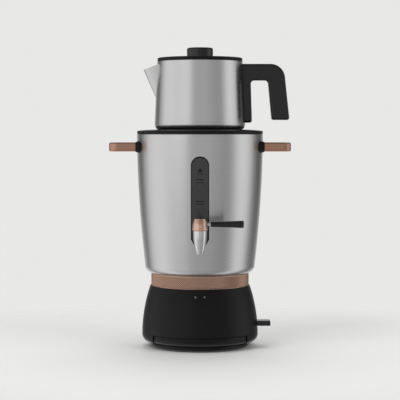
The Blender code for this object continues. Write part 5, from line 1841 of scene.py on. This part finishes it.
@dataclass
class Teapot(Assembly):
    """Brushed steel teapot with its beak, strainer and moulded handle."""

    body: str = "teapot"
    shape: TeapotShape = TeapotShape()
    wall: float = 0.001
    top_radius: float = 0.0672
    spout_reach: float = 0.0887
    tip_drop: float = 0.0125
    mouth_drop: float = 0.0055
    foot_drop: float = 0.0585
    half_width: float = 0.025
    foot_half: float = 0.003
    roundness: float = 1.6
    strainer_hole: float = 0.0021
    strainer_pitch: float = 0.0074
    strainer_drop: float = 0.027
    grip_drop: float = 0.0035
    arm: float = 0.026
    leg: float = 0.0123
    leg_spread: float = 0.002
    leg_drop: float = 0.0955
    finger_room: float = 0.027
    grip: float = 0.0245
    lean: float = 0.0094
    inner_lean: float = 0.0059
    grip_end: float = 0.0913
    grip_width: float = 0.023
    outer_bend: float = 0.023
    inner_bend: float = 0.0055
    end_corner: float = 0.0036
    bevel: float = 0.0034
    screw_size: tuple = (0.003, 0.0012, 0.0017)

    def build(self) -> None:
        """Build and dress the teapot's body, handle and handle screws."""
        self.hand_over(self.make_body(), STEEL, "teapot_body")
        self.hand_over(self.make_handle(), GLOSS, "teapot_handle")
        for name, place in self.screw_places().items():
            head = screw_head(*self.screw_size)
            head.data.transform(place)
            head.name = f"grip_screw_{name}"
            self.hand_over(head, MILL_STEEL, f"handle_screw_{name}")

    def beak(self, inset: float) -> Object:
        """Loft the beak from its foot to the rim.

        Args:
            inset: how far its faces lie inside the outer ones.

        Returns:
            The new object, not yet trimmed to its mouth.
        """
        rim = self.shape.high
        foot, tip = rim - self.foot_drop, rim - self.tip_drop
        root_depth = 0.003 + inset
        levels, steps = 14, 40
        bm = bmesh.new()
        rings = []
        for level in range(levels + 1):
            share = level / levels
            z = foot + (rim - foot) * share
            start = self.shape.radius_at(z) - self.wall
            rise = (z - foot) / (tip - foot)
            nose = start + (self.spout_reach - self.shape.radius_at(tip) + self.wall) * rise - inset
            half = self.foot_half + (self.half_width - self.foot_half) * share - inset
            root = math.sqrt(self.shape.radius_at(z) ** 2 - half**2) - root_depth
            ring = []
            for step in range(steps + 1):
                u = 2 * step / steps - 1
                x = root + (nose - root) * (1 - abs(u) ** self.roundness)
                ring.append(bm.verts.new((-x, half * u, z)))
            rings.append(ring)
        skin(bm, rings)
        return new_piece(bm, "beak")

    def make_body(self) -> Object:
        """Join the wall and the beak, hollow them and pierce the strainer."""
        rim = self.shape.high
        spout = self.beak(0)
        tip = Vector((-self.spout_reach, 0, rim - self.tip_drop))
        mouth = Vector((-self.top_radius, 0, rim - self.mouth_drop))
        slope = math.atan2(mouth.z - tip.z, mouth.x - tip.x)
        trim = box("trim", (-0.09, -0.09, 0), (0.09, 0.09, 0.09))
        trim.data.transform(Matrix.Translation(tip) @ Matrix.Rotation(-slope, 4, "Y"))
        carve(spout, Cut.AWAY, trim)
        pot = self.shape.solid()
        pot.name = "pot_wall"
        carve(pot, Cut.JOIN, spout)
        way = carve(self.beak(self.wall), Cut.AWAY, self.shape.solid(0, OVERRUN))
        carve(pot, Cut.AWAY, self.shape.solid(self.wall, OVERRUN), way, self.piercers())
        return pot

    def piercers(self) -> Object:
        """Repeat the strainer's cutter on a grid, as one tool.

        Returns:
            The cutters as one object.
        """
        pitch = self.strainer_pitch
        spots = [
            (-self.top_radius, pitch * column, self.shape.high - self.strainer_drop + pitch * row)
            for column in (-1, 0, 1)
            for row in (-1, 0, 1)
        ]
        pin = rod("pin", self.strainer_hole, -0.0019, 0.0035, (1, 0, 0), (0, 0, 0), 16)
        return repeat("piercers", pin, spots, STEEL)

    def handle_outline(self) -> Outline:
        """List the handle's outline in X and Z, its wall side inside the teapot."""
        rim = self.shape.high
        top, leg = rim - self.grip_drop, self.top_radius + self.leg
        under, grip = top - self.arm, leg + self.finger_room
        leg_low, grip_low = rim - self.leg_drop, rim - self.grip_end
        core = self.top_radius / 2
        return rounded(
            [
                (core, leg_low, 0),
                (leg + self.leg_spread, leg_low, self.end_corner),
                (leg, under, self.inner_bend),
                (grip, under, self.inner_bend),
                (grip + self.inner_lean, grip_low, self.end_corner),
                (grip + self.grip + self.lean, grip_low, self.end_corner),
                (grip + self.grip, top, self.outer_bend),
                (core, top, 0),
            ],
            16,
        )

    def make_handle(self) -> Object:
        """Mould the handle and trim it to the teapot's wall."""
        handle = softened("pot_handle", self.handle_outline(), self.grip_width / 2, self.bevel, 8)
        return carve(handle, Cut.AWAY, self.shape.solid(-GAP, OVERRUN + self.grip_drop))

    def screw_places(self) -> dict[str, Matrix]:
        """Return where the heads of the two handle screws are."""
        upper_low, upper_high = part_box("handle_screw_upper")
        lower_low, lower_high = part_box("handle_screw_lower")
        upper = ((upper_low + upper_high) / 2).x
        lower = ((lower_low + lower_high) / 2).z
        return {
            "upper": along((0, 0, -1), (upper, 0, upper_low.z + 0.0012)),
            "lower": along((1, 0, 0), (lower_high.x - 0.0012, 0, lower)),
        }


@dataclass
class Lid(Assembly):
    """Black lid with its knob."""

    body: str = "lid"
    low: float = 0.4484
    edge: float = 0.454
    top: float = 0.4556
    radius: float = 0.0667
    plug: float = 0.0641
    wall: float = 0.0022
    hole: float = 0.0023
    plug_depth: float = 0.008
    knob_low: float = 0.4559
    knob_top: float = 0.47
    knob_radius: float = 0.0206
    knob_round: float = 0.003

    def build(self) -> None:
        """Build and dress the disc and its knob."""
        self.hand_over(self.make_disc(), BLACK, "lid_disc")
        self.hand_over(self.make_knob(), GLOSS, "lid_knob")

    def make_disc(self) -> Object:
        """Turn the shallow dome with its plug."""
        plug, wall = self.plug, self.wall
        roof = self.edge - wall
        outline = [(self.hole, roof), (plug - wall, roof), (plug - wall, self.low - self.plug_depth)]
        outline += [(plug - 0.0004, self.low - self.plug_depth), (plug, self.low - self.plug_depth + 0.0004)]
        outline += [(plug, self.low), (self.radius - 0.0003, self.low), (self.radius, self.low + 0.0003)]
        outline += arc((self.radius - 0.0014, self.edge - 0.0014), 0.0014, 0, 84, 8)
        outline += flowing(
            [
                (self.radius - 0.0026, self.edge + 0.0001),
                ((self.knob_radius + self.radius) / 2, self.edge + 0.0009),
                (self.knob_radius + 0.0014, self.top),
            ],
            12,
        )
        outline += [(self.knob_radius - 0.001, self.top), (self.hole, self.top)]
        return lathe("lid_dome", outline)

    def make_knob(self) -> Object:
        """Turn the knob with a rounded rim and a slightly dished top."""
        radius, bend = self.knob_radius, self.knob_round
        roof = self.knob_low + 0.009
        outline = [(0, roof), (self.hole, roof), (self.hole, self.knob_low)]
        outline += [(radius - 0.0008, self.knob_low), (radius - 0.0002, self.knob_low + 0.0006)]
        outline += arc((radius - bend, self.knob_top - bend), bend, 0, 90, 10)
        outline += [(radius - bend - 0.0012, self.knob_top), (radius - bend - 0.002, self.knob_top - 0.0006)]
        outline += [(0, self.knob_top - 0.0009)]
        return lathe("knob_button", outline, 96)


# Studio


@dataclass
class Studio:
    """Pale floor, soft lamps and the camera at the photograph's viewing angle."""

    floor_radius: float = 0.64
    fade_radius: float = 0.34
    camera_place: tuple = (0.0, -2.286, 0.3346)
    camera_pitch: float = 87.4
    focal: float = 130.5
    pale: str = "#E6E6E4"
    backdrop: str = "#E8E8E6"
    ambient: float = 0.5
    lamps: tuple = (
        ("key softbox", (-1.3, -1.5, 1.9), (0, 0, 0.22), 1.5, 26),
        ("fill softbox", (1.5, -1.2, 1.5), (0, 0, 0.22), 1.3, 12),
        ("top softbox", (0.1, 0.9, 2.3), (0, 0.1, 0), 1.6, 20),
    )
    low_bands: tuple = (
        (-180, 0.9), (-155, 0.85), (-140, 0.36), (-130, 0.36), (-119, 0.72), (-105, 0.92), (-80, 0.97),
        (-66, 0.82), (-50, 0.64), (-30, 0.58), (-20, 0.5), (20, 0.43), (40, 0.365), (54, 0.35),
        (66, 0.58), (78, 0.86), (90, 0.9), (100, 0.78), (110, 0.46), (118, 0.25), (132, 0.24),
        (145, 0.4), (158, 0.7), (180, 0.9),
    )
    high_bands: tuple = (
        (-180, 0.8), (-160, 0.5), (-148, 0.2), (-134, 0.15), (-122, 0.5), (-110, 0.8), (-100, 0.97),
        (-86, 1.0), (-60, 0.97), (-42, 1.05), (-30, 1.05), (-22, 0.8), (-16, 0.6), (0, 0.57),
        (12, 0.59), (30, 0.51), (50, 0.43), (58, 0.46), (66, 0.7), (76, 0.96), (86, 1.02), (98, 0.92),
        (108, 0.68), (116, 0.4), (128, 0.15), (144, 0.11), (155, 0.35), (170, 0.8),
    )
    level: tuple = ((-90, 0.0), (-15, 0.0), (-3, 1.0))
    ceiling: tuple = ((-90, 1.0), (16, 1.0), (34, 0.45), (60, 0.4), (88, 0.8))

    def build(self) -> None:
        """Build the floor, the world, the lamps and the camera."""
        scene = bpy.context.scene
        scene.view_settings.view_transform = "Standard"
        self.make_floor()
        scene.world = self.make_world()
        for lamp in self.lamps:
            self.make_lamp(*lamp)
        self.make_camera()

    def make_floor(self) -> None:
        """Lay a plain pale floor with an almost even tone."""
        bm = bmesh.new()
        bmesh.ops.create_circle(bm, cap_ends=True, radius=self.floor_radius, segments=128)
        mesh = bpy.data.meshes.new("floor")
        bm.to_mesh(mesh)
        bm.free()
        floor = linked("floor", mesh)
        material = bpy.data.materials.new("matt paper floor")
        material.use_nodes = True
        tree = material.node_tree
        shader = tree.nodes["Principled BSDF"]
        place = add_node(tree, "ShaderNodeTexCoord").outputs["Object"]
        noise = add_node(tree, "ShaderNodeTexNoise", {"Vector": place, "Scale": 9.0, "Detail": 3.0})
        tone = add_node(
            tree, "ShaderNodeMapRange", {"Value": noise.outputs["Fac"], "To Min": 0.7, "To Max": 0.76}
        )
        tree.links.new(tone.outputs["Result"], shader.inputs["Roughness"])
        shader.inputs["Base Color"].default_value = linear(self.pale)
        # Mirrored rays pass through the floor to the world's bands, and its rim fades into the backdrop
        path = add_node(tree, "ShaderNodeLightPath")
        reach = add_node(tree, "ShaderNodeVectorMath", {0: place}, operation="LENGTH")
        fade = add_node(
            tree,
            "ShaderNodeMapRange",
            {"Value": reach.outputs["Value"], "From Min": self.fade_radius, "From Max": self.floor_radius},
            interpolation_type="SMOOTHSTEP",
        )
        hidden = add_node(
            tree,
            "ShaderNodeMath",
            {0: path.outputs["Is Glossy Ray"], 1: fade.outputs["Result"]},
            operation="MAXIMUM",
        )
        clear = add_node(tree, "ShaderNodeBsdfTransparent")
        mixed = add_node(
            tree, "ShaderNodeMixShader", {0: hidden.outputs[0], 1: shader.outputs[0], 2: clear.outputs[0]}
        )
        tree.links.new(mixed.outputs[0], tree.nodes["Material Output"].inputs["Surface"])
        mesh.materials.append(material)

    def make_world(self) -> bpy.types.World:
        """Build a world that is plain to the camera and has a studio's bands for what mirrors it.

        Returns:
            The new world.
        """
        world = bpy.data.worlds.new("studio")
        world.use_nodes = True
        tree = world.node_tree
        tree.nodes.clear()
        place = add_node(tree, "ShaderNodeTexCoord").outputs["Generated"]
        turned = add_node(
            tree, "ShaderNodeMapping", {"Vector": place, "Rotation": (0, 0, math.radians(90))}
        )
        around = add_node(
            tree, "ShaderNodeTexGradient", {"Vector": turned.outputs["Vector"]}, gradient_type="RADIAL"
        )
        turn = around.outputs["Color"]
        low, high = (
            self.ramp(tree, turn, [((angle + 180) / 360, tone) for angle, tone in stops])
            for stops in (self.low_bands, self.high_bands)
        )
        apart = add_node(tree, "ShaderNodeSeparateXYZ", {"Vector": place})
        height = add_node(tree, "ShaderNodeMapRange", {"Value": apart.outputs["Z"], "From Min": -1.0})
        level, ceiling = (
            self.ramp(
                tree,
                height.outputs["Result"],
                [((math.sin(math.radians(angle)) + 1) / 2, tone) for angle, tone in stops],
            )
            for stops in (self.level, self.ceiling)
        )
        walls = add_node(tree, "ShaderNodeMix", {0: level, 6: low, 7: high}, data_type="RGBA")
        room = add_node(
            tree,
            "ShaderNodeMix",
            {0: 1.0, 6: walls.outputs[2], 7: ceiling},
            data_type="RGBA",
            blend_type="MULTIPLY",
        )
        path = add_node(tree, "ShaderNodeLightPath")
        light = add_node(tree, "ShaderNodeBackground", {"Color": linear("#FFFFFF"), "Strength": self.ambient})
        mirrored = add_node(tree, "ShaderNodeBackground", {"Color": room.outputs[2], "Strength": 1.0})
        plain = add_node(tree, "ShaderNodeBackground", {"Color": linear(self.backdrop), "Strength": 1.0})
        metal = add_node(
            tree,
            "ShaderNodeMath",
            {0: path.outputs["Is Glossy Ray"], 1: path.outputs["Is Transmission Ray"]},
            operation="MAXIMUM",
        )
        first = add_node(
            tree, "ShaderNodeMixShader", {0: metal.outputs[0], 1: light.outputs[0], 2: mirrored.outputs[0]}
        )
        second = add_node(
            tree, "ShaderNodeMixShader",
            {0: path.outputs["Is Camera Ray"], 1: first.outputs[0], 2: plain.outputs[0]},
        )
        out = tree.nodes.new("ShaderNodeOutputWorld")
        tree.links.new(second.outputs[0], out.inputs["Surface"])
        return world

    def ramp(self, tree: Tree, value: Socket, stops: list) -> Socket:
        """Add a ramp of grey tones.

        Args:
            tree: the tree that takes the ramp.
            value: the value that picks a tone, from 0 to 1.
            stops: (position, tone) pairs in order.

        Returns:
            The picked tone.
        """
        node = add_node(tree, "ShaderNodeValToRGB", {"Fac": value})
        elements = node.color_ramp.elements
        while len(elements) > 1:
            elements.remove(elements[-1])
        for index, (place, tone) in enumerate(stops):
            element = elements[0] if index == 0 else elements.new(place)
            element.position = place
            element.color = (tone, tone, tone, 1.0)
        return node.outputs["Color"]

    def make_lamp(self, name: str, place: tuple, target: tuple, size: float, watts: float) -> None:
        """Hang one square softbox.

        Args:
            name: the lamp's name.
            place: where it hangs.
            target: the point that it faces.
            size: its side.
            watts: its power.
        """
        data = bpy.data.lights.new(name, "AREA")
        data.shape = "SQUARE"
        data.size = size
        data.energy = watts
        lamp = linked(name, data)
        lamp.location = place
        # The metal mirrors the world's bands only, so the lamps stay out of its reflections
        lamp.visible_glossy = False
        lamp.rotation_euler = (Vector(target) - Vector(place)).to_track_quat("-Z", "Y").to_euler()

    def make_camera(self) -> None:
        """Set the camera where the photograph was taken from."""
        data = bpy.data.cameras.new("camera")
        data.lens = self.focal
        data.sensor_width = 36.0
        camera = linked("camera", data)
        camera.location = self.camera_place
        camera.rotation_euler = (math.radians(self.camera_pitch), 0, 0)
        bpy.context.scene.camera = camera


def dress_frame() -> None:
    """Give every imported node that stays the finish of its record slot."""
    replaced = {name for obj in bpy.data.objects for name in obj.get("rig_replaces", [])}
    for name, node in frame["nodes"].items():
        if name in replaced:
            continue
        finish = NODE_FINISHES.get(name, BLACK)
        node.data.materials.clear()
        node.data.materials.append(finish.material())
        LOG.info("%s keeps its packed shape in %s", name, finish.name)


NODE_FINISHES = {
    "indicator_board": BOARD,
    "switch_pin": MILL_STEEL,
    "switch_body": BLACK,
    "tank_gasket": SILICONE,
    "heater_plate": MILL_STEEL,
    "heating_element": MILL_STEEL,
    "thermostat": BLACK,
    "gauge_channel": BLACK,
    "gauge_gasket": RUBBER,
    "sight_tube": GLASS,
    "tube_seal_upper": RUBBER,
    "tube_seal_lower": RUBBER,
    "tap_nut": MILL_STEEL,
    "valve_plug": BRASS,
    "handle_bracket_upper": MILL_STEEL,
    "handle_bracket_lower": MILL_STEEL,
    "lid_gasket": SILICONE,
    "lid_screw": MILL_STEEL,
}
NODE_FINISHES |= {f"tank_nut_{index}": MILL_STEEL for index in range(1, 5)}
NODE_FINISHES |= {
    f"handle_nut_{side}_{place}": MILL_STEEL for side in ("left", "right") for place in ("front", "rear")
}


def main() -> None:
    """Build the studio, then the samovar from its base up."""
    logging.basicConfig(level=logging.INFO, format="%(message)s")
    gauge = Gauge()
    assemblies = [
        Base(),
        DripTray(),
        PaddleSwitch(),
        TrimRing(),
        Tank(gauge=gauge),
        gauge,
        SideHandles(),
        TapBody(),
        TapHandle(),
        Teapot(),
        Lid(),
    ]
    Studio().build()
    for assembly in assemblies:
        assembly.build()
    dress_frame()


if __name__ == "__main__":
    main()
